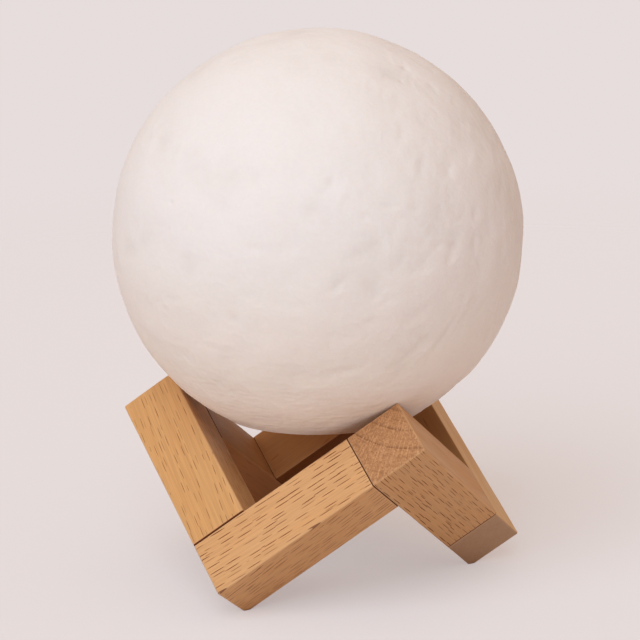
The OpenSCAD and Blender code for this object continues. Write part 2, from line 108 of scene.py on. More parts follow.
scene = bpy.context.scene
camera_data = bpy.data.cameras.new("camera")
camera_data.sensor_width = 36
camera_data.lens = focal_px / picture_px * camera_data.sensor_width
camera_data.clip_start = 0.05
camera = bpy.data.objects.new("camera", camera_data)
scene.collection.objects.link(camera)
camera.matrix_world = (
    Matrix.Translation(camera_place)
    @ Matrix.Rotation(camera_heading, 4, "Z")
    @ Matrix.Rotation(math.pi / 2 - camera_pitch, 4, "X")
    @ Matrix.Rotation(camera_roll, 4, "Z")
)
scene.camera = camera
print("lens %.0f mm" % camera_data.lens)

# %% [markdown]
# ## Helpers for meshes
# A piece made here is a mesh from lists of points and faces. It keeps its place in its own points, rides on a
# body of the frame, and hides the plain solid that it stands for.

# %% Mesh helpers
def piece_from(name, points, faces, body, replaced=()):
    """A smooth mesh object that rides on a body and stands for the given nodes."""
    mesh = bpy.data.meshes.new(name)
    mesh.from_pydata([tuple(p) for p in points], [], [tuple(f) for f in faces])
    mesh.validate()
    made = bmesh.new()
    made.from_mesh(mesh)
    bmesh.ops.recalc_face_normals(made, faces=made.faces)
    made.to_mesh(mesh)
    made.free()
    mesh.shade_smooth()
    obj = bpy.data.objects.new(name, mesh)
    scene.collection.objects.link(obj)
    if replaced:
        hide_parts(*replaced)
    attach(obj, body)
    return obj


def dress(obj, material):
    """Gives an object one material."""
    obj.data.materials.clear()
    obj.data.materials.append(material)


print("mesh helpers ready")

# %% [markdown]
# ## Helpers for materials
# A material is a small tree of nodes. Each helper takes up something that nearly every tree repeats: adding a
# node with its settings and links, multiplying, mixing two colours, or mapping one range to another.

# %% Node helpers
def add(tree, kind, links=None, **settings):
    """Adds a node, applies its settings and fills its inputs with values or links."""
    node = tree.nodes.new(kind)
    for key, value in settings.items():
        setattr(node, key, value)
    for key, value in (links or {}).items():
        socket = node.inputs[key]
        if isinstance(value, bpy.types.NodeSocket):
            tree.links.new(value, socket)
        else:
            socket.default_value = value
    return node


def math_node(tree, operation, a, b=0.0, clamp=False):
    """One Math node and its result."""
    node = add(tree, "ShaderNodeMath", {0: a, 1: b}, operation=operation, use_clamp=clamp)
    return node.outputs[0]


def times(tree, a, b):
    """The product of two values."""
    return math_node(tree, "MULTIPLY", a, b)


def vector_math(tree, operation, a, b=None):
    """One Vector Math node and its result: a vector, or a number for a length or a dot product."""
    node = add(tree, "ShaderNodeVectorMath", {0: a} if b is None else {0: a, 1: b}, operation=operation)
    return node.outputs["Value" if operation in ("LENGTH", "DOT_PRODUCT") else "Vector"]


def mix_colour(tree, factor, a, b, blend="MIX"):
    """Mixes two colours by a mask."""
    node = add(tree, "ShaderNodeMix", {"Factor": factor}, data_type="RGBA", blend_type=blend)
    for key, value in ((6, a), (7, b)):
        if isinstance(value, bpy.types.NodeSocket):
            tree.links.new(value, node.inputs[key])
        else:
            node.inputs[key].default_value = value
    return node.outputs[2]


def ramp(tree, value, low, high, out_low=0.0, out_high=1.0):
    """Maps a value smoothly from one range to another."""
    node = add(tree, "ShaderNodeMapRange", {"Value": value, "From Min": low, "From Max": high,
                                           "To Min": out_low, "To Max": out_high},
               interpolation_type="SMOOTHSTEP")
    return node.outputs[0]


print("node helpers ready")

# %% [markdown]
# Every material starts with an empty tree and one Principled shader, and effects that several materials share
# are node groups. A group is built once and then placed with other values, which is quicker to read and to
# change than copies of the same nodes.

# %% Material and group helpers
def new_material(name, **principled):
    """A material with only a Principled shader, whose plain values are set on its own sockets."""
    material = bpy.data.materials.new(name)
    material.use_nodes = True
    tree = material.node_tree
    tree.nodes.clear()
    shader = add(tree, "ShaderNodeBsdfPrincipled", principled)
    add(tree, "ShaderNodeOutputMaterial", {"Surface": shader.outputs[0]})
    return material, tree, shader


def rgb(r, g, b):
    """A colour as it is seen on a screen, 0 to 255, made linear for a shader."""
    def linear(v):
        v = v / 255
        return v / 12.92 if v <= 0.04045 else ((v + 0.055) / 1.055) ** 2.4
    return (linear(r), linear(g), linear(b), 1.0)


def new_group(name, inputs, outputs):
    """A shader node group with named sockets: (name, kind, default) in, (name, kind) out."""
    group = bpy.data.node_groups.new(name, "ShaderNodeTree")
    for title, kind, default in inputs:
        socket = group.interface.new_socket(title, in_out="INPUT", socket_type=kind)
        socket.default_value = default
    for title, kind in outputs:
        group.interface.new_socket(title, in_out="OUTPUT", socket_type=kind)
    return group, group.nodes.new("NodeGroupInput"), group.nodes.new("NodeGroupOutput")


def use_group(tree, group, links):
    """Places a group in a material with its own values."""
    node = tree.nodes.new("ShaderNodeGroup")
    node.node_tree = group
    for key, value in links.items():
        if isinstance(value, bpy.types.NodeSocket):
            tree.links.new(value, node.inputs[key])
        else:
            node.inputs[key].default_value = value
    return node


FLOAT, VECTOR = "NodeSocketFloat", "NodeSocketVector"
print("material and group helpers ready")

# %% [markdown]
# ## Shared effect: soft unevenness
# Nothing real has one flat colour. This group gives a cloudy mask and a fine speck, which every material of
# the lamp uses at its own strength, for faint stains, sanding marks or moulding haze. An image texture could
# do it too, but noise needs no file and has no seams.

# %% Group: soft unevenness
uneven, g_in, g_out = new_group(
    "soft unevenness",
    [("Vector", VECTOR, (0, 0, 0)), ("Cloud Size", FLOAT, 0.02), ("Speck Size", FLOAT, 0.0006)],
    [("Cloud", FLOAT), ("Speck", FLOAT)])
for size_name, out_name, octaves in (("Cloud Size", "Cloud", 4.0), ("Speck Size", "Speck", 2.0)):
    scale = math_node(uneven, "DIVIDE", 1.0, g_in.outputs[size_name])
    cloud = add(uneven, "ShaderNodeTexNoise",
                {"Vector": g_in.outputs["Vector"], "Scale": scale, "Detail": octaves, "Roughness": 0.55})
    uneven.links.new(ramp(uneven, cloud.outputs["Fac"], 0.3, 0.7), g_out.inputs[out_name])
print("group:", uneven.name)

# %% [markdown]
# ## Shared effect: the figure of beech
# Wood is a solid texture. Growth rings lie round the pith, which is outside a bar this small, and rays run
# from the pith outwards. Cut across, the rays show as fine radial lines; cut along the rings they are the
# short dark flecks that mark beech. So the pattern is made in coordinates round the pith, and each face of
# the bar then shows the right cut of it by itself.

# %% Sizes in the figure of beech
ray_fan = 50 * MM                   # turns an angle round the pith into a length across the flecks
drift_scale = (24, 60, 60)          # waves per metre of the grain's slow wander
fleck_layer = 4 * MM                # how deep one layer of flecks reaches, from the pith outwards
fleck_half = (0.42, 0.078, 0.85)    # half sizes of a fleck, as shares of its cell: along, across, deep
ray_size = (4 * MM, 0.34 * MM, 7 * MM)    # a ray's cell: along the bar, across, and away from the pith
fibre_scale = (45, 2700, 2700)      # waves per metre: long along the bar, fine across it
print("a ray is %.0f mm long and %.1f mm wide" % (ray_size[0] / MM, ray_size[1] / MM))

# %% Group: figure of beech, its rings
figure, g_in, g_out = new_group(
    "figure of beech",
    [("Vector", VECTOR, (0, 0, 0)), ("Pith Y", FLOAT, 0.0), ("Pith Z", FLOAT, -40 * MM),
     ("Ring", FLOAT, 2.7 * MM), ("Fleck Length", FLOAT, 4.6 * MM), ("Fleck Width", FLOAT, 0.78 * MM),
     ("Fleck Share", FLOAT, 0.9), ("Wander", FLOAT, 0.9 * MM)],
    [("Rings", FLOAT), ("Flecks", FLOAT), ("Fibre", FLOAT), ("Rays", FLOAT), ("Height", FLOAT)])
wood_at = g_in.outputs["Vector"]
split = add(figure, "ShaderNodeSeparateXYZ", {0: wood_at})
along, across, up = split.outputs
drift_at = vector_math(figure, "MULTIPLY", wood_at, drift_scale)
drift = add(figure, "ShaderNodeTexNoise", {"Vector": drift_at, "Scale": 1.0, "Detail": 0.5})
drift_by = times(figure, math_node(figure, "SUBTRACT", drift.outputs["Fac"], 0.5), g_in.outputs["Wander"])
from_pith_y = math_node(figure, "SUBTRACT", across, g_in.outputs["Pith Y"])
from_pith_z = math_node(figure, "SUBTRACT", up, g_in.outputs["Pith Z"])
y_squared = times(figure, from_pith_y, from_pith_y)
z_squared = times(figure, from_pith_z, from_pith_z)
pith_r = math_node(figure, "SQRT", math_node(figure, "ADD", y_squared, z_squared))
ring_r = math_node(figure, "ADD", pith_r, times(figure, drift_by, 2.0))
years = math_node(figure, "DIVIDE", ring_r, g_in.outputs["Ring"])
in_ring = math_node(figure, "FRACT", years)
late = ramp(figure, in_ring, 0.35, 0.94)             # wood darkens through the year
late_line = math_node(figure, "POWER", late, 3.5)
edge = ramp(figure, in_ring, 0.94, 1.0, 1.0, 0.0)    # and is pale again where the next year starts
year = math_node(figure, "FLOOR", years)
weather = add(figure, "ShaderNodeTexWhiteNoise", {"W": year}, noise_dimensions="1D")
strong = ramp(figure, weather.outputs["Value"], 0.1, 0.9, 0.25, 1.0)
ring_line = times(figure, times(figure, late_line, edge), strong)
figure.links.new(ring_line, g_out.inputs["Rings"])
print("rings in", figure.name)

# %% [markdown]
# A fleck is one ray cut lengthwise: a thin dark spindle. Voronoi cells scatter one spindle to a cell, so they
# never run into each other, and the cell's random colour says which are left out and how dark each one is.

# %% Group: figure of beech, its flecks
turn = math_node(figure, "ARCTAN2", from_pith_z, from_pith_y)
arc = math_node(figure, "ADD", times(figure, turn, ray_fan), drift_by)
fleck_at = add(figure, "ShaderNodeCombineXYZ", {
    0: math_node(figure, "DIVIDE", along, g_in.outputs["Fleck Length"]),
    1: math_node(figure, "DIVIDE", arc, g_in.outputs["Fleck Width"]),
    2: math_node(figure, "DIVIDE", pith_r, fleck_layer)})
fleck_cells = add(figure, "ShaderNodeTexVoronoi",
                  {"Vector": fleck_at.outputs[0], "Scale": 1.0, "Randomness": 0.66})
chosen = add(figure, "ShaderNodeSeparateColor", {0: fleck_cells.outputs["Color"]})
from_middle = vector_math(figure, "SUBTRACT", fleck_at.outputs[0], fleck_cells.outputs["Position"])
in_spindle = vector_math(figure, "DIVIDE", from_middle, fleck_half)
spindle_at = vector_math(figure, "LENGTH", in_spindle)
spindle = ramp(figure, spindle_at, 0.8, 1.02, 1.0, 0.0)
picked = math_node(figure, "LESS_THAN", chosen.outputs[0], g_in.outputs["Fleck Share"])
strength = ramp(figure, chosen.outputs[1], 0.0, 0.7, 0.55, 1.0)
fleck = times(figure, times(figure, spindle, picked), strength)
figure.links.new(fleck, g_out.inputs["Flecks"])
print("flecks in", figure.name)

# %% Group: figure of beech, its rays on the end grain and its fibres
ray_at = add(figure, "ShaderNodeCombineXYZ", {
    i: math_node(figure, "DIVIDE", length, size)
    for i, (length, size) in enumerate(zip((along, arc, pith_r), ray_size))})
rays = add(figure, "ShaderNodeTexNoise", {"Vector": ray_at.outputs[0], "Scale": 1.0, "Detail": 1.0})
figure.links.new(ramp(figure, rays.outputs["Fac"], 0.42, 0.66), g_out.inputs["Rays"])
fibre_at = vector_math(figure, "MULTIPLY", wood_at, fibre_scale)
fibre = add(figure, "ShaderNodeTexNoise",
            {"Vector": fibre_at, "Scale": 1.0, "Detail": 1.5, "Roughness": 0.5})
figure.links.new(ramp(figure, fibre.outputs["Fac"], 0.30, 0.70), g_out.inputs["Fibre"])
sunk = times(figure, fleck, 0.8)
figure.links.new(math_node(figure, "SUBTRACT", fibre.outputs["Fac"], sunk), g_out.inputs["Height"])
print("group:", figure.name)

# %% [markdown]
# ## Shared effect: eased edges
# Sanding takes colour off the edges of a bar first. A bevel node could find the edges, but it is slow. The
# bar is a plain box in its own coordinates, so the mask is worked out from how close a point is to two of its
# sides at once.

# %% Group: eased edges of a box
eased, g_in, g_out = new_group(
    "eased edges",
    [("Vector", VECTOR, (0, 0, 0)), ("Middle", VECTOR, (0, 0, 0)), ("Half", VECTOR, (1, 1, 1)),
     ("Width", FLOAT, 0.0012)],
    [("Edge", FLOAT)])
off = vector_math(eased, "SUBTRACT", g_in.outputs["Vector"], g_in.outputs["Middle"])
size = vector_math(eased, "ABSOLUTE", off)
gap = vector_math(eased, "SUBTRACT", g_in.outputs["Half"], size)
gaps = add(eased, "ShaderNodeSeparateXYZ", {0: gap})
near = [ramp(eased, gaps.outputs[i], 0.0, g_in.outputs["Width"], 1.0, 0.0) for i in range(3)]
total = math_node(eased, "ADD", math_node(eased, "ADD", near[0], near[1]), near[2])
eased.links.new(math_node(eased, "SUBTRACT", total, 1.0, clamp=True), g_out.inputs["Edge"])
print("group:", eased.name)

# %% [markdown]
# ## The bars
# Each bar is a square beech stick with sanded, slightly rounded edges. A box with a bevel would do, but its
# edges would be dead straight. So the bar is a fine grid wrapped round a rounded box: each grid point is
# pulled onto the rounding, then moved a few hundredths of a millimetre in or out, as hand sanding leaves it.

# %% Shape of a bar
sanding = 0.035 * MM        # how far the sanding waves reach
sanding_waves = 130         # waves per metre
sanding_inset = 0.02 * MM   # keeps the waves inside the solid
joint_gap = 0.01 * MM       # the flat end stays this far off the next bar


def bar_steps(length, fine=4, coarse=1.3 * MM):
    """Places along one side: close together on the rounding, wider between."""
    rounding = [bar_round * (i / fine) ** 1.3 for i in range(fine + 1)]
    count = max(2, round((length - 2 * bar_round) / coarse))
    middle = [bar_round + (length - 2 * bar_round) * i / count for i in range(1, count)]
    return rounding + middle + [length - s for s in reversed(rounding)]


def bar_mesh(place, seed):
    """Points and faces of one bar, set in place."""
    size = np.array([bar_len + butt_extra, bar_w, bar_w])
    steps = [bar_steps(s) for s in size]
    points, faces, known = [], [], {}

    def corner(key):
        if key not in known:
            known[key] = len(points)
            points.append([steps[i][key[i]] for i in range(3)])
        return known[key]

    for axis in range(3):
        u, v = [i for i in range(3) if i != axis]
        for end in (0, len(steps[axis]) - 1):
            for i in range(len(steps[u]) - 1):
                for j in range(len(steps[v]) - 1):
                    ring = []
                    for di, dj in ((0, 0), (1, 0), (1, 1), (0, 1)):
                        key = [0, 0, 0]
                        key[axis], key[u], key[v] = end, i + di, j + dj
                        ring.append(corner(tuple(key)))
                    faces.append(ring)
    points = np.array(points)
    inner = np.clip(points, bar_round, size - bar_round)
    outward = points - inner
    outward /= np.linalg.norm(outward, axis=1)[:, None]
    own = Vector((seed * 7.3, 0, 0))
    wobble = np.array([noise.fractal(Vector(p) * sanding_waves + own, 0.9, 2.0, 3) for p in points])
    points = inner + outward * (bar_round - sanding_inset + sanding * wobble)[:, None]
    points[:, 0] = np.minimum(points[:, 0], bar_len - joint_gap)
    turned = np.array(place.to_3x3()) @ points.T
    return turned.T + np.array(place.translation), faces


print(len(bar_steps(bar_len)), "places along a bar,", len(bar_steps(bar_w)), "across it")

# %% Places of the six bars
def in_stand(turns):
    """The cube's own axes, set on the floor and turned by thirds of a turn."""
    tilt = math.asin(1 / math.sqrt(3))
    return (Matrix.Rotation(math.radians(120 * turns), 4, "Z") @ Matrix.Translation((0, 0, -stand_drop))
            @ Matrix.Rotation(-tilt, 4, "Y") @ Matrix.Rotation(math.radians(45), 4, "X"))


foot_place = Matrix.Translation((0, 0, bar_len))
prong_place = (Matrix.Translation((cube_side, 0, cube_side)) @ Matrix.Rotation(math.pi / 2, 4, "Z")
               @ Matrix.Rotation(math.pi / 2, 4, "Y"))
bar_places = {
    "foot_bar_front": in_stand(0) @ foot_place,
    "foot_bar_right": in_stand(1) @ foot_place,
    "foot_bar_rear": in_stand(2) @ foot_place,
    "prong_bar_front": in_stand(0) @ prong_place,
    "prong_bar_rear": in_stand(1) @ prong_place,
    "prong_bar_left": in_stand(2) @ prong_place,
}
print("bars:", ", ".join(bar_places))

# %% [markdown]
# ## Beech
# The finish is bare or lightly oiled beech: golden brown, a little pinker on the end grain, with fine fibres,
# faint rings and short dark flecks. Each bar gets its own material from the same groups, with its own pith,
# tone and fleck count, because no two sticks come from the same place in the log. The two rear bars are toned
# darker also as painted shade, for the shade they stand in among the bars.

# %% Look of each bar
# pith: where the heart of the tree lies, across the bar, in mm; lean: how the grain leans, in degrees
# tone: the bar's own share of red, green and blue, and on the two rear bars a painted shade as well; fibre:
# how strong its fine streaks are
# flecks: the share of cells with a fleck; ink: how dark they are; side: the same on the faces across Y,
# as a share of ink; long, wide: the fleck's cell, in mm; wander: how far the grain drifts, in mm
# joint: how much of the dark glue line shows at the butt joint, in mm
# inner: painted shade on a face that sees little light between the bars, or painted light on one that gets
# more of it, as its way and its tint
bar_looks = {
    "foot_bar_front": {
        "pith": (-34, -30), "lean": (0, 3.4), "tone_and_shade": (0.89, 0.92, 1.01), "fibre": 0.5, "joint": 0.1,
        "flecks": 0.97, "ink": 1.0, "side": 0.9, "long": 5.5, "wide": 0.84, "wander": 0.8},
    "foot_bar_right": {
        "pith": (38, -32), "lean": (0, 0), "tone_and_shade": (0.93, 1.12, 1.30), "fibre": 0.2, "joint": 0.3,
        "flecks": 0.1, "ink": 0.4, "side": 1.0, "long": 4.5, "wide": 0.9, "wander": 0.9,
        "inner": ((0, 1, 0), (0.54, 0.44, 0.37))},
    # its low tone is partly painted shade, for the shade among the bars
    "foot_bar_rear": {
        "pith": (-30, 42), "lean": (0, 2), "tone_and_shade": (0.66, 0.65, 0.65), "fibre": 0.4, "joint": 0.3,
        "flecks": 0.35, "ink": 0.3, "side": 1.0, "long": 4.5, "wide": 0.9, "wander": 0.8},
    "prong_bar_front": {
        "pith": (-26, 36), "lean": (0, 0), "tone_and_shade": (0.82, 0.85, 0.93), "fibre": 0.5, "joint": 0.3,
        "flecks": 0.97, "ink": 1.0, "side": 0.12, "long": 5.5, "wide": 0.84, "wander": 1.2},
    # its low tone is partly painted shade, for the shade among the bars
    "prong_bar_rear": {
        "pith": (-42, 30), "lean": (1, 0), "tone_and_shade": (0.72, 0.66, 0.60), "fibre": 0.4, "joint": 0.1,
        "flecks": 0.35, "ink": 0.3, "side": 0.3, "long": 4.5, "wide": 0.9, "wander": 1.0,
        "inner": ((0, 1, 0), (0.40, 0.30, 0.20))},
    "prong_bar_left": {
        "pith": (-32, -14), "lean": (-3.9, 0), "tone_and_shade": (0.86, 0.86, 0.83), "fibre": 0.6, "joint": 0.3,
        "flecks": 0.6, "ink": 0.62, "side": 1.0, "long": 4.6, "wide": 1.3, "wander": 3.0,
        "inner": ((0, 0, 1), (1.12, 1.19, 1.31))},
}
end_looks = {
    "prong": {"light": (187, 135, 90), "dark": (118, 72, 43), "rings": 0.85, "rays": 0.9},
    "foot": {"light": (177, 141, 110), "dark": (163, 126, 97), "rings": 0.25, "rays": 0.15},
}
ring_width = 2.2 * MM
early_wood = rgb(221, 166, 110)
late_wood = rgb(203, 145, 90)
cloudy_wood = rgb(206, 149, 96)
fleck_ink = rgb(98, 34, 0)
glue_line = rgb(92, 34, 0)
sanded_edge = rgb(230, 190, 148)
pore_brown = rgb(140, 92, 62)
print("looks of", len(bar_looks), "bars")

# %% [markdown]
# The long faces and the end grain are coloured apart, because the same rings and rays look different on
# them. Each function takes the masks of the groups and gives back one colour.

# %% Colour of the long faces and of the end grain
def faces_across(tree, where, place, way):
    """How squarely a face looks along one of the bar's own axes, from -1 to 1."""
    return vector_math(tree, "DOT_PRODUCT", where.outputs["Normal"], place.to_3x3() @ Vector(way))


def long_grain(tree, grain, cloud, look, kept):
    """Rings, soft clouds, fine streaks and flecks of the long faces; kept is the share of each fleck."""
    light = [c * t for c, t in zip(early_wood, look["tone_and_shade"])] + [1]
    deep = [c * t for c, t in zip(late_wood, look["tone_and_shade"])] + [1]
    colour = mix_colour(tree, times(tree, grain.outputs["Rings"], 0.35), light, deep)
    clouded = times(tree, cloud.outputs["Cloud"], 0.3)
    colour = mix_colour(tree, clouded, colour, cloudy_wood)
    streak = ramp(tree, grain.outputs["Fibre"], 0.0, 1.0, 1 + 0.07 * look["fibre"], 1 - 0.13 * look["fibre"])
    streaked = add(tree, "ShaderNodeVectorMath", {0: colour, "Scale": streak}, operation="SCALE")
    inked = times(tree, grain.outputs["Flecks"], kept)
    return mix_colour(tree, inked, streaked.outputs[0], fleck_ink)


def end_grain(tree, grain, cloud, look):
    """Rings, pale rays and pores of a sawn end."""
    ringed = times(tree, grain.outputs["Rings"], look["rings"])
    colour = mix_colour(tree, ringed, rgb(*look["light"]), rgb(*look["dark"]))
    rayed = times(tree, grain.outputs["Rays"], look["rays"])
    colour = mix_colour(tree, rayed, colour, rgb(*[v + 18 for v in look["light"]]))
    pored = times(tree, cloud.outputs["Speck"], 0.75 * look["rings"])
    return mix_colour(tree, pored, colour, pore_brown)


print("colours of long faces and of", len(end_looks), "kinds of end grain ready")

# %% [markdown]
# The material lays those colours over the bar in the order in which they come on the real one: the wood, the
# worn edges and the dark line of glue at the joint. Last it lays painted shade or painted light on the inner
# faces, for the light they get from their neighbours. One texture for all faces would be simpler, but its
# flecks would not change on the end grain.

# %% Material of one bar
def beech(name, place, look, shift):
    """Beech for one bar, cut from its own place in the log; shift is how far along the log."""
    material, tree, shader = new_material(name, **{"Roughness": 0.6, "Specular IOR Level": 0.15})
    back = place.inverted()
    where = add(tree, "ShaderNodeTexCoord")
    local = add(tree, "ShaderNodeMapping", {
        "Vector": where.outputs["Object"], "Location": back.translation,
        "Rotation": back.to_euler("XYZ")}, vector_type="POINT")
    lean = [math.radians(v) for v in look["lean"]]
    moved = add(tree, "ShaderNodeMapping", {
        "Vector": local.outputs[0], "Location": (shift, 0, 0), "Rotation": (0, lean[0], lean[1])},
        vector_type="POINT")
    grain = use_group(tree, figure, {
        "Vector": moved.outputs[0], "Pith Y": look["pith"][0] * MM, "Pith Z": look["pith"][1] * MM,
        "Ring": ring_width, "Fleck Length": look["long"] * MM, "Fleck Width": look["wide"] * MM,
        "Fleck Share": look["flecks"], "Wander": look["wander"] * MM})
    drawn_out = vector_math(tree, "MULTIPLY", moved.outputs[0], (0.25, 1, 1))
    cloud = use_group(tree, uneven, {"Vector": drawn_out, "Cloud Size": 5 * MM, "Speck Size": 0.4 * MM})
    half = (bar_len / 2, bar_w / 2, bar_w / 2)
    edges = use_group(tree, eased, {
        "Vector": local.outputs[0], "Middle": half, "Half": half, "Width": 0.7 * MM})

    across_y = math_node(tree, "ABSOLUTE", faces_across(tree, where, place, (0, 1, 0)))
    kept = ramp(tree, across_y, 0.5, 0.9, look["ink"], look["ink"] * look["side"])
    colour = long_grain(tree, grain, cloud, look, kept)
    endwise = math_node(tree, "ABSOLUTE", faces_across(tree, where, place, (1, 0, 0)))
    kind = name.split("_")[0]
    colour = mix_colour(tree, ramp(tree, endwise, 0.6, 0.85), colour,
                        end_grain(tree, grain, cloud, end_looks[kind]))
    worn = times(tree, edges.outputs["Edge"], 0.25)
    colour = mix_colour(tree, worn, colour, sanded_edge)
    along = add(tree, "ShaderNodeSeparateXYZ", {0: local.outputs[0]})
    joint_at = bar_len - look["joint"] * MM
    joint = ramp(tree, along.outputs[0], joint_at - 0.05 * MM, joint_at, 0.0, 0.95)
    colour = mix_colour(tree, joint, colour, glue_line)
    # painted shade on the inner faces of foot_bar_right and prong_bar_rear, painted light on that of
    # prong_bar_left
    if "inner" in look:
        way, painted_light_tint = look["inner"]
        inner_light_mask = ramp(tree, faces_across(tree, where, place, way), 0.6, 0.9)
        inner_painted_light = mix_colour(tree, 1.0, colour, painted_light_tint + (1,), "MULTIPLY")
        colour = mix_colour(tree, inner_light_mask, colour, inner_painted_light)
    tree.links.new(colour, shader.inputs["Base Color"])

    rough = ramp(tree, cloud.outputs["Cloud"], 0.0, 1.0, 0.52, 0.68)
    tree.links.new(rough, shader.inputs["Roughness"])
    bump = add(tree, "ShaderNodeBump", {
        "Height": grain.outputs["Height"], "Strength": 0.3, "Distance": 0.1 * MM})
    tree.links.new(bump.outputs[0], shader.inputs["Normal"])
    return material


print("beech ready for", len(bar_looks), "bars")

# %% Make the bars
for seed, (name, place) in enumerate(bar_places.items()):
    points, faces = bar_mesh(place, seed)
    bar = piece_from(name + "_beech", points, faces, "stand", [name])
    if name.startswith("foot"):
        cut = bmesh.new()
        cut.from_mesh(bar.data)
        whole = cut.verts[:] + cut.edges[:] + cut.faces[:]
        bmesh.ops.bisect_plane(cut, geom=whole, plane_co=(0, 0, 0), plane_no=(0, 0, -1), clear_outer=True)
        bmesh.ops.holes_fill(cut, edges=[e for e in cut.edges if e.is_boundary])
        cut.to_mesh(bar.data)
        cut.free()
    dress(bar, beech(name + " beech", place, bar_looks[name], 0.1 + 0.24 * seed))
    print(bar.name, len(bar.data.polygons), "faces")

# %% [markdown]
# ## The moon's relief
# The moon is printed from a height map, so its relief is real shape, not paint. A height map could come from
# an image, but this lesson makes its own, generic moon: the large dishes lie along the same spiral as those
# of the solid, and smaller craters, low rims and rolling ground are added between them. Plains are left
# smoother. The high parts of the relief touch the solid's sphere and all else lies below it, so the moon
# keeps its size. Relief is reckoned in mm, because it is so shallow.

# %% Sizes and directions, by the same rule as in the solid
crater_places = 48    # places along the spiral
crater_min_r = 1.8    # mm
crater_max_r = 5.8    # mm
crater_stray = 7      # how far a crater strays from its place, in degrees
crater_off_flat = 3   # least distance of a crater's edge from the flat, in degrees
crater_off_spot = 2   # the same from the seats, the top and the four sides
crater_seed = 11
flat_r = math.sqrt(moon_r ** 2 - (moon_z - flat_z) ** 2)
moon_mm = moon_r / MM


def toward(polar, turn):
    """A direction from its angle below the top and its turn round the axis, in degrees."""
    p, t = math.radians(polar), math.radians(turn)
    return np.array([math.sin(p) * math.cos(t), math.sin(p) * math.sin(t), math.cos(p)])


def scatter(i, seed):
    """A number from 0 to 1 that looks random but follows a rule."""
    wave = math.sin(math.radians(i * 78.233 + seed * 37.719)) * 437.585
    return wave - math.floor(wave)


def seat_directions():
    """Where the three prong corners carry the moon."""
    out = []
    for turns in range(3):
        tip = in_stand(turns) @ Vector((cube_side, bar_w, cube_side))
        out.append(np.array((tip - Vector((0, 0, moon_z))).normalized()))
    return out


seats = seat_directions()
smooth_spots = seats + [toward(90, 90 * i) for i in range(4)] + [toward(0, 0)]
print("seats at a height of %.2f of the radius" % seats[0][2])

# %% Large craters
def large_craters():
    """(direction, radius in mm) of each large crater."""
    golden = 180 * (3 - math.sqrt(5))
    flat_polar = 180 - math.degrees(math.asin(flat_r / moon_r))
    found = []
    for i in range(crater_places):
        share = scatter(i, crater_seed)
        r = crater_min_r + (crater_max_r - crater_min_r) * share ** 1.6
        polar = math.degrees(math.acos(1 - (2 * i + 1) / crater_places))
        polar += crater_stray * (2 * scatter(i, crater_seed + 1) - 1)
        turn = golden * i + crater_stray * (2 * scatter(i, crater_seed + 2) - 1)
        way = toward(polar, turn)
        reach = math.degrees(math.asin(r * MM / moon_r))
        if math.degrees(math.acos(way[2])) + reach > flat_polar - crater_off_flat:
            continue
        if min(math.degrees(math.acos(min(1, way @ s))) for s in smooth_spots) < reach + crater_off_spot:
            continue
        found.append((way, r))
    return found


big = large_craters()
print(len(big), "large craters")
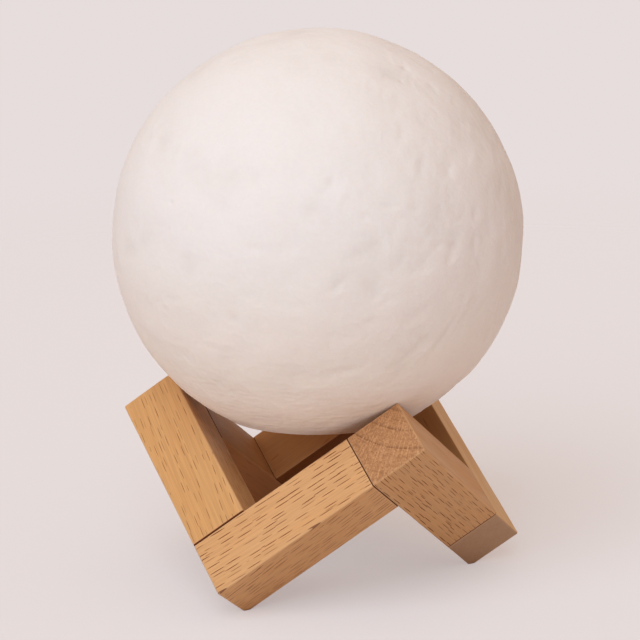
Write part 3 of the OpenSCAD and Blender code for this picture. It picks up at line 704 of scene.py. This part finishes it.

# %% [markdown]
# ## Marks placed one by one
# Scattered craters alone make just any moon. So some dents, scars and swellings are set one by one, each a
# soft oval that is placed by the spot of the picture where it is seen. Sculpting would do it too, but a short
# list of named ovals can be read and changed.

# %% Marks placed one by one
# each mark: where it is seen, as the photograph's pixel x and y; half its length and half its width, in mm;
# its tilt on the picture, in degrees; its depth in mm, less than nothing for a swelling
marks = {
    "speck far left": ((171, 203), 0.7, 0.6, 0, 0.31),
    "speck upper left": ((234, 62), 0.6, 0.5, 0, 0.33),
    "speck upper right": ((402, 80), 0.6, 0.5, 0, 0.33),
    "pit above that speck": ((405, 67), 1.2, 0.8, 40, 0.27),
    "pit in the middle": ((331, 182), 1.6, 1.2, 80, 0.24),
    "long dent left of the middle": ((253, 248), 2.8, 1.3, 0, 0.22),
    "faint dent beside the pit": ((325, 190), 2.2, 1.4, 60, 0.12),
    "wide dish in the middle": ((312, 209), 3.6, 1.8, 50, 0.20),
    "swelling beside the dish": ((342, 194), 3.0, 1.0, 60, -0.14),
    "small pit right of the middle": ((364, 217), 1.3, 1.0, 0, 0.21),
    "broad dish right of the middle": ((376, 245), 2.8, 2.2, 40, 0.24),
    "dish below the broad one": ((359, 255), 2.6, 1.6, 30, 0.18),
    "long dent below the middle": ((340, 283), 3.8, 1.5, 35, 0.21),
    "dent upper right": ((402, 133), 2.6, 1.5, 80, 0.21),
    "long dent right": ((422, 167), 3.4, 1.5, 85, 0.21),
    "dent at the right": ((449, 171), 2.4, 1.5, 80, 0.26),
    "swelling below that dent": ((446, 184), 2.2, 1.0, 60, -0.12),
    "swelling above that dent": ((443, 151), 2.4, 1.2, 70, -0.10),
    "ridge far upper right": ((471, 130), 3.4, 1.3, 78, -0.14),
    "ridge far right": ((474, 162), 4.4, 1.4, 76, -0.18),
    "dent far right": ((476, 211), 1.9, 1.5, 80, 0.24),
    "long dent lower right": ((452, 255), 4.0, 1.5, 66, 0.22),
    "swelling lower right": ((431, 281), 2.8, 1.4, 35, -0.32),
    "low ridge far right": ((479, 248), 4.6, 1.1, 82, -0.14),
    "broad dish at the right rim": ((502, 253), 5.0, 2.4, 86, 0.20),
    "dish near the right rim": ((500, 190), 3.4, 1.8, 80, 0.16),
    "swelling at the left": ((135, 301), 1.4, 1.0, 80, -0.15),
    "small pit at the left": ((164, 309), 0.9, 0.8, 0, 0.15),
    "small pit lower left": ((234, 320), 1.5, 1.2, 0, 0.17),
    "pit lower left, right one": ((216, 383), 1.2, 0.7, -20, 0.15),
    "pit lower left, middle one": ((204, 372), 1.2, 0.7, -35, 0.15),
    "pit lower left, left one": ((186, 358), 1.6, 0.7, -40, 0.13),
    "small pit at the bottom": ((379, 387), 0.8, 0.6, 0, 0.19),
    "long scar at the bottom": ((344, 372), 6.0, 1.2, 12, 0.16),
    "inner scar lower right": ((411, 353), 4.6, 1.1, 38, 0.16),
    "ridge beside that scar": ((430, 348), 5.0, 1.0, 40, -0.13),
    "outer scar lower right": ((446, 334), 5.0, 1.1, 44, 0.16),
    "ridge beside the outer scar": ((466, 306), 5.0, 1.2, 55, -0.13),
    "thin scar right of the middle": ((389, 206), 3.4, 0.8, 3, 0.12),
    "small pit beside the thin scar": ((415, 210), 1.2, 1.0, 0, 0.15),
    "low ridge below the thin scar": ((405, 229), 2.4, 1.2, 60, -0.12),
    "dent below the ridge": ((402, 262), 2.4, 1.4, 40, 0.18),
    "dent below that dent": ((392, 300), 3.4, 1.4, 30, 0.16),
    "next dent outwards": ((415, 318), 3.6, 1.3, 35, 0.16),
    "dent below the middle right": ((372, 322), 2.6, 1.4, 20, 0.14),
    "swelling at the top right": ((430, 100), 3.4, 1.4, -30, -0.10),
    "dent beside the swelling": ((433, 86), 2.0, 1.0, -40, 0.12),
    "dent below the middle dish": ((300, 306), 2.6, 1.4, 10, 0.12),
    "faint dish in the middle": ((284, 250), 4.0, 2.0, 30, 0.09),
    "faint dish lower left": ((230, 282), 3.6, 2.0, 20, 0.09),
    "faint dish upper middle": ((260, 180), 3.0, 2.2, 0, 0.09),
}
print(len(marks), "marks")

# %% Depth of the marks
mark_gain, mark_fall = 0.95, 1.1    # share of the depth, and how fast it falls off outwards
mark_reach = 2.4                    # a mark is worked out over this many of its half lengths


def on_moon(px, py):
    """The direction from the moon's centre to the point of its surface seen at a pixel."""
    turn = camera.matrix_world.to_3x3()
    ray = turn @ Vector(((px - picture_px / 2) / focal_px, (picture_px / 2 - py) / focal_px, -1))
    ray.normalize()
    offset = camera_place - Vector((0, 0, moon_z))
    half = offset.dot(ray)
    reach = half * half - offset.length_squared + moon_r * moon_r
    distance = -half - math.sqrt(max(reach, 0))
    return (offset + ray * distance).normalized()


def marks_depth(ways):
    """Depth of all listed marks at many directions, in mm."""
    view = camera.matrix_world.to_3x3()
    depth = np.zeros(len(ways))
    for (px, py), long, short, tilt, deep in marks.values():
        centre = on_moon(px, py)
        right = (view.col[0] - centre * centre.dot(view.col[0])).normalized()
        up = centre.cross(right)
        c, s = math.cos(math.radians(tilt)), math.sin(math.radians(tilt))
        u = np.array(right * c + up * s) * moon_mm / long
        v = np.array(up * c - right * s) * moon_mm / short
        near = np.flatnonzero(ways @ np.array(centre) > math.cos(mark_reach * long / moon_mm))
        d = ways[near] - np.array(centre)
        t = np.hypot(d @ u, d @ v)
        depth[near] += mark_gain * deep * np.exp(-mark_fall * t ** 2)
    return depth


middle = on_moon(picture_px / 2, picture_px / 2)
print("the middle of the picture looks at", [round(v, 2) for v in middle], "on the moon")

# %% [markdown]
# ## Craters and rough ground
# A worn crater is a soft bowl with a low rim. Between the craters the ground rolls, and near the underside it
# lies in level ripples. All of it is bent a little by noise, since true circles look drawn. One noise texture
# could give rough ground, but no bowls with rims.

# %% Sizes of craters and rough ground
# plains: (direction, reach as a share of the moon's radius) of each smoother stretch
plains = [(toward(52, -112), 0.62), (toward(75, 60), 0.5), (toward(60, 170), 0.42), (toward(110, 20), 0.3)]
plain_waver, plain_edge = 0.25, 0.3      # how far noise moves a plain's border, and its width, in radii
plain_craters = (0.35, 0.65)             # share of the craters' depth on a plain, and what open ground adds
plain_rolling = (0.85, 0.15)             # the same for the rolling ground
bend_by = 0.022                          # how far noise bends all outlines, as a share of the radius
big_depth = 0.28                         # depth of a large crater: times its radius squared, over the moon's
big_rim, small_rim = 0.15, 0.2           # height of a rim, as a share of its crater's depth
small_craters = 1300
small_r = (0.9, 2.6)                     # least radius of a small crater, and what chance can add, in mm
small_depth = (0.012, 0.025)             # the same for its depth, for a radius of 1 mm
seat_flat, seat_fade = 1.5, 4            # mm round a seat without relief, and the mm over which it comes back
belly_top, belly_fade = -0.42, 0.3       # where the level ripples start and how soon they are full, in radii
print(len(big), "large and", small_craters, "small craters,", len(plains), "plains")

# %% Craters and rough ground
def bowl(ways, centre, radius, depth, rim):
    """Depth of one worn crater at many directions: a soft dish with a low rim, in mm."""
    near = np.flatnonzero(ways @ centre > math.cos(2.0 * radius / moon_mm))
    t = np.linalg.norm(ways[near] - centre, axis=1) * moon_mm / radius
    dish = depth * np.exp(-1.3 * t ** 3)
    lip = rim * depth * np.exp(-((t - 1.2) / 0.34) ** 2)
    return near, dish - lip


def noise_at(ways, size, octaves, offset):
    """Fractal noise whose largest waves are about size mm long."""
    scale = moon_mm / size
    shift = Vector(offset)
    return np.array([noise.fractal(Vector(w) * scale + shift, 0.85, 2.0, octaves) for w in ways])


def craters_depth(bent):
    """Depth of the large craters and of the small scattered ones, in mm."""
    depth = np.zeros(len(bent))
    for centre, r in big:
        near, d = bowl(bent, centre, r, big_depth * r * r / moon_mm, big_rim)
        depth[near] += d
    random = np.random.default_rng(7)
    for _ in range(small_craters):
        centre = random.normal(size=3)
        centre /= np.linalg.norm(centre)
        r = small_r[0] + small_r[1] * random.random() ** 3
        deep = (small_depth[0] + small_depth[1] * random.random()) * r ** 0.8
        near, d = bowl(bent, centre, r, deep, small_rim)
        depth[near] += d
    return depth


def rolling_depth(ways, bent):
    """Rolling ground in two sizes, and level ripples round the underside, in mm."""
    rolling = 0.46 * noise_at(bent, size=17, octaves=2, offset=(3, 1, 8))
    rolling = rolling + 0.17 * np.abs(noise_at(bent, size=8, octaves=4, offset=(9, 4, 1)))
    low = np.clip((belly_top - ways[:, 2]) / belly_fade, 0, 1)
    level = ways * (1, 1, 4.5)
    return rolling + 0.2 * low * np.abs(noise_at(level, size=5, octaves=2, offset=(5, 5, 2)))


straight_down = np.array([[0, 0, -1.0]])
print("rolling ground at the very bottom: %.2f mm" % rolling_depth(straight_down, straight_down)[0])

# %% Relief
golden_turn = 137.508    # degrees from one post to the next, which spreads them evenly
post_spread = 0.012      # how far the say of one post reaches


def touching(ways, depth, posts=500, reach=0.30, high_share=6, ease=0.05):
    """Lifts the ground so that its high parts lie on the sphere all round, and eases what would stick out."""
    total, weight = np.zeros(len(ways)), np.zeros(len(ways))
    for i in range(posts):
        z = 1 - (2 * i + 1) / posts
        post = toward(math.degrees(math.acos(z)), golden_turn * i)
        close = ways @ post
        around = depth[close > math.cos(reach)]
        if len(around):
            share = np.exp((close - 1) / post_spread)
            total += share * np.percentile(around, high_share)
            weight += share
    depth = depth - total / (weight + 1e-9)
    return (depth + np.sqrt(depth ** 2 + ease ** 2)) / 2


def relief(ways):
    """How far the surface lies below the sphere at many directions, in mm."""
    bend = np.stack([noise_at(ways, size=9, octaves=3, offset=(7 * k, 2, 3)) for k in range(3)], axis=1)
    bent = ways + bend_by * bend
    bent /= np.linalg.norm(bent, axis=1)[:, None]
    calm = np.ones(len(ways))    # 0 on a plain, 1 on open ground
    for centre, reach in plains:
        edge = np.linalg.norm(bent - centre, axis=1) + plain_waver * bend[:, 0]
        calm *= np.clip((edge - reach) / plain_edge, 0, 1)
    depth = craters_depth(bent) * (plain_craters[0] + plain_craters[1] * calm)
    depth += rolling_depth(ways, bent) * (plain_rolling[0] + plain_rolling[1] * calm) + marks_depth(ways)
    depth = touching(ways, depth)
    keep = np.ones(len(ways))
    for spot in seats:
        keep *= np.clip((np.linalg.norm(ways - spot, axis=1) * moon_mm - seat_flat) / seat_fade, 0, 1)
    return depth * keep


print("relief ready:", len(big) + small_craters + len(marks), "craters and marks")

# %% [markdown]
# ## The moon's shell
# The shell is one closed mesh. A subdivided sphere with displacement would be quicker, but it would have no
# wall and no opening. Going round its section, the shell runs from the top down the outside, across the flat
# rim, up the neck inside the opening, down behind the neck and back to the top on the inside. Turning that
# section gives a grid of rings, and the relief then moves only the outer rings.

# %% Section and mesh of the shell
wall = 1.8 * MM
neck_wall = 2.2 * MM
mouth_round = (0.4 * MM, 0.3 * MM)    # eased edge of the opening: across the rim and up the neck
rim_fade = 1.6 * MM                   # the relief dies out over this much before the flat
columns = 640
outer_rings = 370
inner_rings = 60


def shell_section():
    """(radius, height, share of relief) of each ring, from the top round to the inside top."""
    low = math.acos(-(moon_z - flat_z) / moon_r)
    rows = []
    for i in range(1, outer_rings + 1):
        angle = low * i / outer_rings
        fade = min(1, (low - angle) * moon_r / rim_fade)
        rows.append((moon_r * math.sin(angle), moon_z + moon_r * math.cos(angle), fade))
    inner_r = moon_r - wall
    neck_out = opening_r + neck_wall
    neck_in_low = moon_z - math.sqrt(inner_r ** 2 - neck_out ** 2)
    rows += [(opening_r + mouth_round[0], flat_z, 0), (opening_r, flat_z + mouth_round[1], 0),
             (opening_r, neck_top, 0), (neck_out, neck_top, 0), (neck_out, neck_in_low, 0)]
    start = math.acos((neck_in_low - moon_z) / inner_r)
    for i in range(1, inner_rings):
        angle = start * (1 - i / inner_rings)
        rows.append((inner_r * math.sin(angle), moon_z + inner_r * math.cos(angle), 0))
    return rows


rows = shell_section()
print(len(rows), "rings of", columns, "points")

# %% Rings with their relief
turns = np.linspace(0, 2 * math.pi, columns, endpoint=False)
grid = np.array([[(r * math.cos(t), r * math.sin(t), z) for t in turns] for r, z, _ in rows])
share = np.array([s for _, _, s in rows])
moving = share > 0
centre = np.array([0, 0, moon_z])
ways = grid[moving].reshape(-1, 3) - centre
ways /= np.linalg.norm(ways, axis=1)[:, None]
top_way = np.array([[0, 0, 1.0]])
depth = relief(np.vstack([top_way, ways]))
ring_share = np.repeat(share[moving], columns)
print("relief from 0 to %.2f mm, %.2f mm on average" % (depth.max(), depth.mean()))
pushed = ways * (moon_r - depth[1:, None] * MM * ring_share[:, None])
grid[moving] = (pushed + centre).reshape(-1, columns, 3)

# %% One closed mesh
top_outer = [0, 0, moon_z + moon_r - depth[0] * MM]
top_inner = [0, 0, moon_z + moon_r - wall]
points = np.vstack([grid.reshape(-1, 3), [top_outer], [top_inner]])
last = len(rows) - 1
outer_pole, inner_pole = len(points) - 2, len(points) - 1
faces = [(outer_pole, c, (c + 1) % columns) for c in range(columns)]
for r in range(last):
    a, b = r * columns, (r + 1) * columns
    faces += [(a + c, b + c, b + (c + 1) % columns, a + (c + 1) % columns) for c in range(columns)]
faces += [(inner_pole, last * columns + (c + 1) % columns, last * columns + c) for c in range(columns)]
moon = piece_from("moon_surface", points, faces, "moon", ["moon_shell"])

hollows = np.zeros(len(points), np.float32)
hollows[np.flatnonzero(np.repeat(moving, columns))] = depth[1:] / depth.max()
attribute = moon.data.attributes.new("hollow", "FLOAT", "POINT")
attribute.data.foreach_set("value", hollows)
print("moon:", len(moon.data.polygons), "faces")

# %% [markdown]
# ## Printed moon plastic
# Unlit, the shell is a matt, warm white with a little light passing through its skin. Towards the underside
# it gets a painted warm shade. Fine level layer lines from the printer run round it, and the hollows get a
# trace of painted grey shade. A flat white would look like plaster.

# %% Moon material
layer_height = 0.2 * MM
painted_warm_from = moon_z + 0.3 * moon_r
painted_warm_to = moon_z - 0.9 * moon_r
moon_skin, tree, shader = new_material("printed moon", **{
    "Roughness": 0.7, "Specular IOR Level": 0.25, "Subsurface Weight": 0.12, "Subsurface Scale": 3 * MM,
    "Subsurface Radius": (1.0, 0.62, 0.42)})
where = add(tree, "ShaderNodeTexCoord")
cloud = use_group(tree, uneven, {
    "Vector": where.outputs["Object"], "Cloud Size": 22 * MM, "Speck Size": 0.9 * MM})
clouded = times(tree, cloud.outputs["Cloud"], 0.35)
colour = mix_colour(tree, clouded, rgb(239, 232, 230), rgb(235, 227, 223))
height = add(tree, "ShaderNodeSeparateXYZ", {0: where.outputs["Object"]})
# painted warm shade: the colour turns warmer towards the underside
painted_warm_shade = times(tree, ramp(tree, height.outputs[2], painted_warm_from, painted_warm_to), 0.9)
colour = mix_colour(tree, painted_warm_shade, colour, rgb(244, 228, 213))
# painted shade: the colour greys with the depth of a hollow
hollow = add(tree, "ShaderNodeAttribute", attribute_name="hollow")
painted_hollow_shade = ramp(tree, hollow.outputs["Fac"], 0.25, 0.9, 0.0, 0.22)
colour = mix_colour(tree, painted_hollow_shade, colour, rgb(205, 192, 183))
specked = times(tree, cloud.outputs["Speck"], 0.06)
colour = mix_colour(tree, specked, colour, rgb(210, 200, 190))
tree.links.new(colour, shader.inputs["Base Color"])
tree.links.new(ramp(tree, cloud.outputs["Cloud"], 0, 1, 0.66, 0.76), shader.inputs["Roughness"])
layer = math_node(tree, "SINE", times(tree, height.outputs[2], 2 * math.pi / layer_height))
grainy = math_node(tree, "ADD", times(tree, layer, 0.12), cloud.outputs["Speck"])
bump = add(tree, "ShaderNodeBump", {"Height": grainy, "Strength": 0.12, "Distance": 0.1 * MM})
tree.links.new(bump.outputs[0], shader.inputs["Normal"])
dress(moon, moon_skin)
print("material:", moon_skin.name)

# %% [markdown]
# ## Moulded and metal pieces of the base unit
# The pieces of the base unit keep their solids, because their shapes are right. What they need is a finish:
# each plastic has its own haze and fine spark-eroded grain, each metal its own brushing.

# %% Plastic and metal makers
def start_finish(name, cloud_size, speck_size, **plain):
    """What every finish here starts from: a material, its coordinates and its soft unevenness."""
    material, tree, shader = new_material(name, **plain)
    where = add(tree, "ShaderNodeTexCoord").outputs["Object"]
    cloud = use_group(tree, uneven, {"Vector": where, "Cloud Size": cloud_size, "Speck Size": speck_size})
    return material, tree, shader, where, cloud


def roughen(tree, shader, height, strength, distance):
    """A fine bump on the whole surface."""
    bump = add(tree, "ShaderNodeBump", {"Height": height, "Strength": strength, "Distance": distance})
    tree.links.new(bump.outputs[0], shader.inputs["Normal"])


def moulded(name, colour, roughness, grain=0.25, spread=0.06, **plain):
    """Moulded plastic: a base colour with a faint haze and a fine even grain."""
    material, tree, shader, _, cloud = start_finish(name, 9 * MM, 0.25 * MM, **plain)
    haze = times(tree, cloud.outputs["Cloud"], 0.5)
    darker = [c * 0.86 for c in colour[:3]] + [1]
    tree.links.new(mix_colour(tree, haze, colour, darker), shader.inputs["Base Color"])
    tree.links.new(ramp(tree, cloud.outputs["Cloud"], 0, 1, roughness - spread, roughness + spread),
                   shader.inputs["Roughness"])
    roughen(tree, shader, cloud.outputs["Speck"], grain, 0.04 * MM)
    return material


def brushed(name, colour, roughness, stretch=(4000, 400, 400)):
    """Bright metal with fine scratches that run one way; stretch is their waves per metre."""
    material, tree, shader, where, cloud = start_finish(name, 6 * MM, 0.2 * MM, **{"Metallic": 1.0})
    stretched = vector_math(tree, "MULTIPLY", where, stretch)
    scratch = add(tree, "ShaderNodeTexNoise", {"Vector": stretched, "Scale": 1.0, "Detail": 3.0})
    haze = times(tree, cloud.outputs["Cloud"], 0.6)
    duller = [c * 0.8 for c in colour[:3]] + [1]
    tree.links.new(mix_colour(tree, haze, colour, duller), shader.inputs["Base Color"])
    tree.links.new(ramp(tree, scratch.outputs["Fac"], 0.3, 0.7, roughness * 0.7, roughness * 1.4),
                   shader.inputs["Roughness"])
    roughen(tree, shader, scratch.outputs["Fac"], 0.15, 0.02 * MM)
    return material


print("makers ready: moulded plastic, brushed metal")

# %% Materials of the base unit
finishes = {
    "collar_ring": moulded("collar plastic", rgb(236, 233, 226), 0.5),
    "base_cup": moulded("cup plastic", rgb(233, 231, 226), 0.48),
    "base_cover": moulded("cover plastic", rgb(229, 227, 221), 0.42, grain=0.4),
    "power_button": brushed("button metal", rgb(215, 215, 217), 0.22),
    "switch_plunger": moulded("plunger plastic", rgb(38, 38, 40), 0.4),
    "tact_switch": moulded("switch body", rgb(30, 30, 32), 0.45),
    "socket_shell": brushed("socket steel", rgb(205, 206, 208), 0.28),
    "socket_tongue": moulded("socket plastic", rgb(24, 24, 26), 0.5),
    "cover_screws": brushed("zinc screws", rgb(196, 197, 200), 0.30),
    "board_screws": brushed("board screws steel", rgb(190, 191, 194), 0.32),
    "led_screws": brushed("light screws steel", rgb(190, 191, 194), 0.32),
    "board_parts": moulded("chip plastic", rgb(34, 34, 36), 0.38, grain=0.15),
    "battery_pad": moulded("foam", rgb(58, 58, 62), 0.85, grain=0.9),
    "indicator_lens": moulded("clear stud", rgb(240, 244, 240), 0.15, grain=0.02,
                              **{"Transmission Weight": 0.7}),
    "led_board": moulded("light board lacquer", rgb(238, 238, 234), 0.25, grain=0.05),
    "led_chips": moulded("light chips", rgb(240, 214, 120), 0.3, grain=0.05),
    "joint_dowels": moulded("dowel beech", rgb(214, 170, 120), 0.6, grain=0.5),
}
print(len(finishes), "finishes")

# %% [markdown]
# Three more need a pattern of their own: the control board with its copper under green lacquer, the foil of
# the battery, and the two colours of the wires.

# %% Board, foil and wire materials
def board_lacquer():
    """Green solder lacquer with tracks that show as slightly lighter lines."""
    material, tree, shader, where, cloud = start_finish(
        "control board lacquer", 12 * MM, 0.3 * MM, **{"Roughness": 0.3})
    tracks = add(tree, "ShaderNodeTexBrick", {
        "Vector": where, "Color1": (0, 0, 0, 1), "Color2": (0.4, 0.4, 0.4, 1), "Mortar": (1, 1, 1, 1),
        "Scale": 260.0, "Mortar Size": 0.09, "Brick Width": 0.9, "Row Height": 0.35})
    colour = mix_colour(tree, tracks.outputs["Fac"], rgb(22, 92, 58), rgb(44, 128, 78))
    shaded = times(tree, cloud.outputs["Cloud"], 0.3)
    tree.links.new(mix_colour(tree, shaded, colour, rgb(18, 76, 48)), shader.inputs["Base Color"])
    roughen(tree, shader, tracks.outputs["Fac"], 0.2, 0.03 * MM)
    return material


def battery_foil():
    """Silver laminate, softly creased, as round a flat cell."""
    material, tree, shader, _, cloud = start_finish(
        "battery foil", 6 * MM, 0.8 * MM, **{"Metallic": 0.85})
    colour = mix_colour(tree, cloud.outputs["Cloud"], rgb(206, 208, 212), rgb(182, 185, 192))
    tree.links.new(colour, shader.inputs["Base Color"])
    tree.links.new(ramp(tree, cloud.outputs["Cloud"], 0, 1, 0.28, 0.42), shader.inputs["Roughness"])
    roughen(tree, shader, cloud.outputs["Cloud"], 0.4, 0.3 * MM)
    return material


def wire_skin(name, axis, middle):
    """Red skin past a middle plane across one axis and black before it, as a pair of wires has."""
    material, tree, shader, where, cloud = start_finish(name, 3 * MM, 0.2 * MM, **{"Roughness": 0.4})
    place = add(tree, "ShaderNodeSeparateXYZ", {0: where})
    side = math_node(tree, "GREATER_THAN", place.outputs[axis], middle)
    colour = mix_colour(tree, side, rgb(28, 28, 30), rgb(176, 34, 30))
    dulled = times(tree, cloud.outputs["Cloud"], 0.25)
    tree.links.new(mix_colour(tree, dulled, colour, rgb(20, 16, 16)), shader.inputs["Base Color"])
    return material


print("makers ready: board, foil, wires")

# %% Dress the nodes
led_wire_low, led_wire_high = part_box("led_wires")
finishes["control_board"] = board_lacquer()
finishes["battery_cell"] = battery_foil()
finishes["battery_wires"] = wire_skin("battery wires skin", "Y", 0.0)
finishes["led_wires"] = wire_skin("light wires skin", "X", (led_wire_low.x + led_wire_high.x) / 2)
for name, material in finishes.items():
    dress(nodes[name], material)
print("dressed", len(finishes), "nodes")

# %% [markdown]
# ## The button
# The crown of the button comes from its solid with one sliver of no area at the very middle, where all the
# small faces meet. It could stay, since it can't be seen, but a copy whose doubled points are welded is one
# closed skin, so that copy takes the place of the solid.

# %% The button as one closed skin
weld_distance = 0.001 * MM
sharp_from = math.radians(35)
weld = bmesh.new()
weld.from_mesh(nodes["power_button"].data)
bmesh.ops.remove_doubles(weld, verts=weld.verts, dist=weld_distance)
weld.verts.index_update()
button_points = [v.co.copy() for v in weld.verts]
button_faces = [[v.index for v in f.verts] for f in weld.faces]
weld.free()
button = piece_from("power_button_metal", button_points, button_faces, "button",
                    ["power_button"])
button.data.set_sharp_from_angle(angle=sharp_from)
dress(button, finishes["power_button"])
print(button.name, len(button_faces), "faces")

# %% [markdown]
# ## Floor, world and light
# The lamp stands on a plain pale floor that fades into a plain pale background of the same colour, so no
# horizon shows and the shadow stays. A curved backdrop could do that too, but it would show its bend from
# some sides. Beside the lamp the floor throws back the warm light of the wood, which only the lamp sees: the
# camera sees the plain colour.

# %% Floor
backdrop = rgb(230, 221, 220)
floor_r = 750 * MM
floor_mesh = bpy.data.meshes.new("floor")
made = bmesh.new()
bmesh.ops.create_circle(made, cap_ends=True, segments=96, radius=floor_r)
made.to_mesh(floor_mesh)
made.free()
floor = bpy.data.objects.new("floor", floor_mesh)
scene.collection.objects.link(floor)
floor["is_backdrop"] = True
print("floor", round(2 * floor_r, 2), "m across")

# %% Floor material
fade_from, fade_to = 160 * MM, 600 * MM    # where the floor starts to clear, and where it is all background
least_clear = 0.5                          # how clear the floor is everywhere, which keeps its shadow soft
bounce_from, bounce_to = 16 * MM, 48 * MM  # where the warm light thrown back by the floor dies out
floor_skin, tree, shader = new_material("pale floor", **{"Roughness": 0.9, "Specular IOR Level": 0.1})
where = add(tree, "ShaderNodeTexCoord")
reach = vector_math(tree, "LENGTH", where.outputs["Object"])
seen = add(tree, "ShaderNodeLightPath").outputs["Is Camera Ray"]
near_lamp = ramp(tree, reach, bounce_from, bounce_to, 1.0, 0.0)
bounce = mix_colour(tree, near_lamp, rgb(232, 232, 238), rgb(176, 106, 70))
tree.links.new(mix_colour(tree, seen, bounce, rgb(236, 233, 236)), shader.inputs["Base Color"])
clearing = math_node(tree, "MAXIMUM", ramp(tree, reach, fade_from, fade_to), least_clear)
clear = add(tree, "ShaderNodeBsdfTransparent")
mixed = add(tree, "ShaderNodeMixShader", {
    "Fac": times(tree, seen, clearing), 1: shader.outputs[0], 2: clear.outputs[0]})
output = next(n for n in tree.nodes if n.type == "OUTPUT_MATERIAL")
tree.links.new(mixed.outputs[0], output.inputs["Surface"])
dress(floor, floor_skin)
print("material:", floor_skin.name)

# %% [markdown]
# The world gives a warm fill from all round, warmer from below, and shows the plain background to the
# camera, to gloss and to clear plastic. One very wide, cool light from the upper left and the front shapes
# the moon. A few small lights would give hard shadows that the picture doesn't have.

# %% World
fill_strength = 0.62
low_fill = (0.62, 0.36, 0.20, 1)
high_fill = (1.0, 0.72, 0.53, 1)
world = bpy.data.worlds.new("studio")
scene.world = world
world.use_nodes = True
tree = world.node_tree
tree.nodes.clear()
path = add(tree, "ShaderNodeLightPath")
seen = math_node(tree, "ADD", path.outputs["Is Camera Ray"], path.outputs["Is Glossy Ray"], clamp=True)
seen = math_node(tree, "ADD", seen, path.outputs["Is Transmission Ray"], clamp=True)
where = add(tree, "ShaderNodeTexCoord")
sky = add(tree, "ShaderNodeSeparateXYZ", {0: where.outputs["Generated"]})
sky_colour = mix_colour(tree, ramp(tree, sky.outputs[2], -0.1, 0.7), low_fill, high_fill)
fill = add(tree, "ShaderNodeBackground", {"Color": sky_colour, "Strength": fill_strength})
shown = add(tree, "ShaderNodeBackground", {"Color": backdrop, "Strength": 1.0})
mixed = add(tree, "ShaderNodeMixShader", {"Fac": seen, 1: fill.outputs[0], 2: shown.outputs[0]})
add(tree, "ShaderNodeOutputWorld", {"Surface": mixed.outputs[0]})
print("world:", world.name)

# %% Key light
key_from = Vector((-0.30, -0.62, 0.69))    # towards the light, seen from the moon
key_data = bpy.data.lights.new("key", "SUN")
key_data.energy = 2.22
key_data.angle = math.radians(55)
key_data.color = (0.70, 0.875, 1.0)
key = bpy.data.objects.new("key", key_data)
scene.collection.objects.link(key)
key.rotation_mode = "QUATERNION"
key.rotation_quaternion = key_from.to_track_quat("Z", "Y")
scene.view_settings.view_transform = "Standard"
print("lit by", key.name, "and", world.name)

# %% [markdown]
# ## Finish
# The box of the dressed lamp is printed, as its size in mm.

# %% Finish
visual_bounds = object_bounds()
low, high = visual_bounds
print("size of the dressed lamp in mm:", [round((high[i] - low[i]) / MM, 2) for i in range(3)])
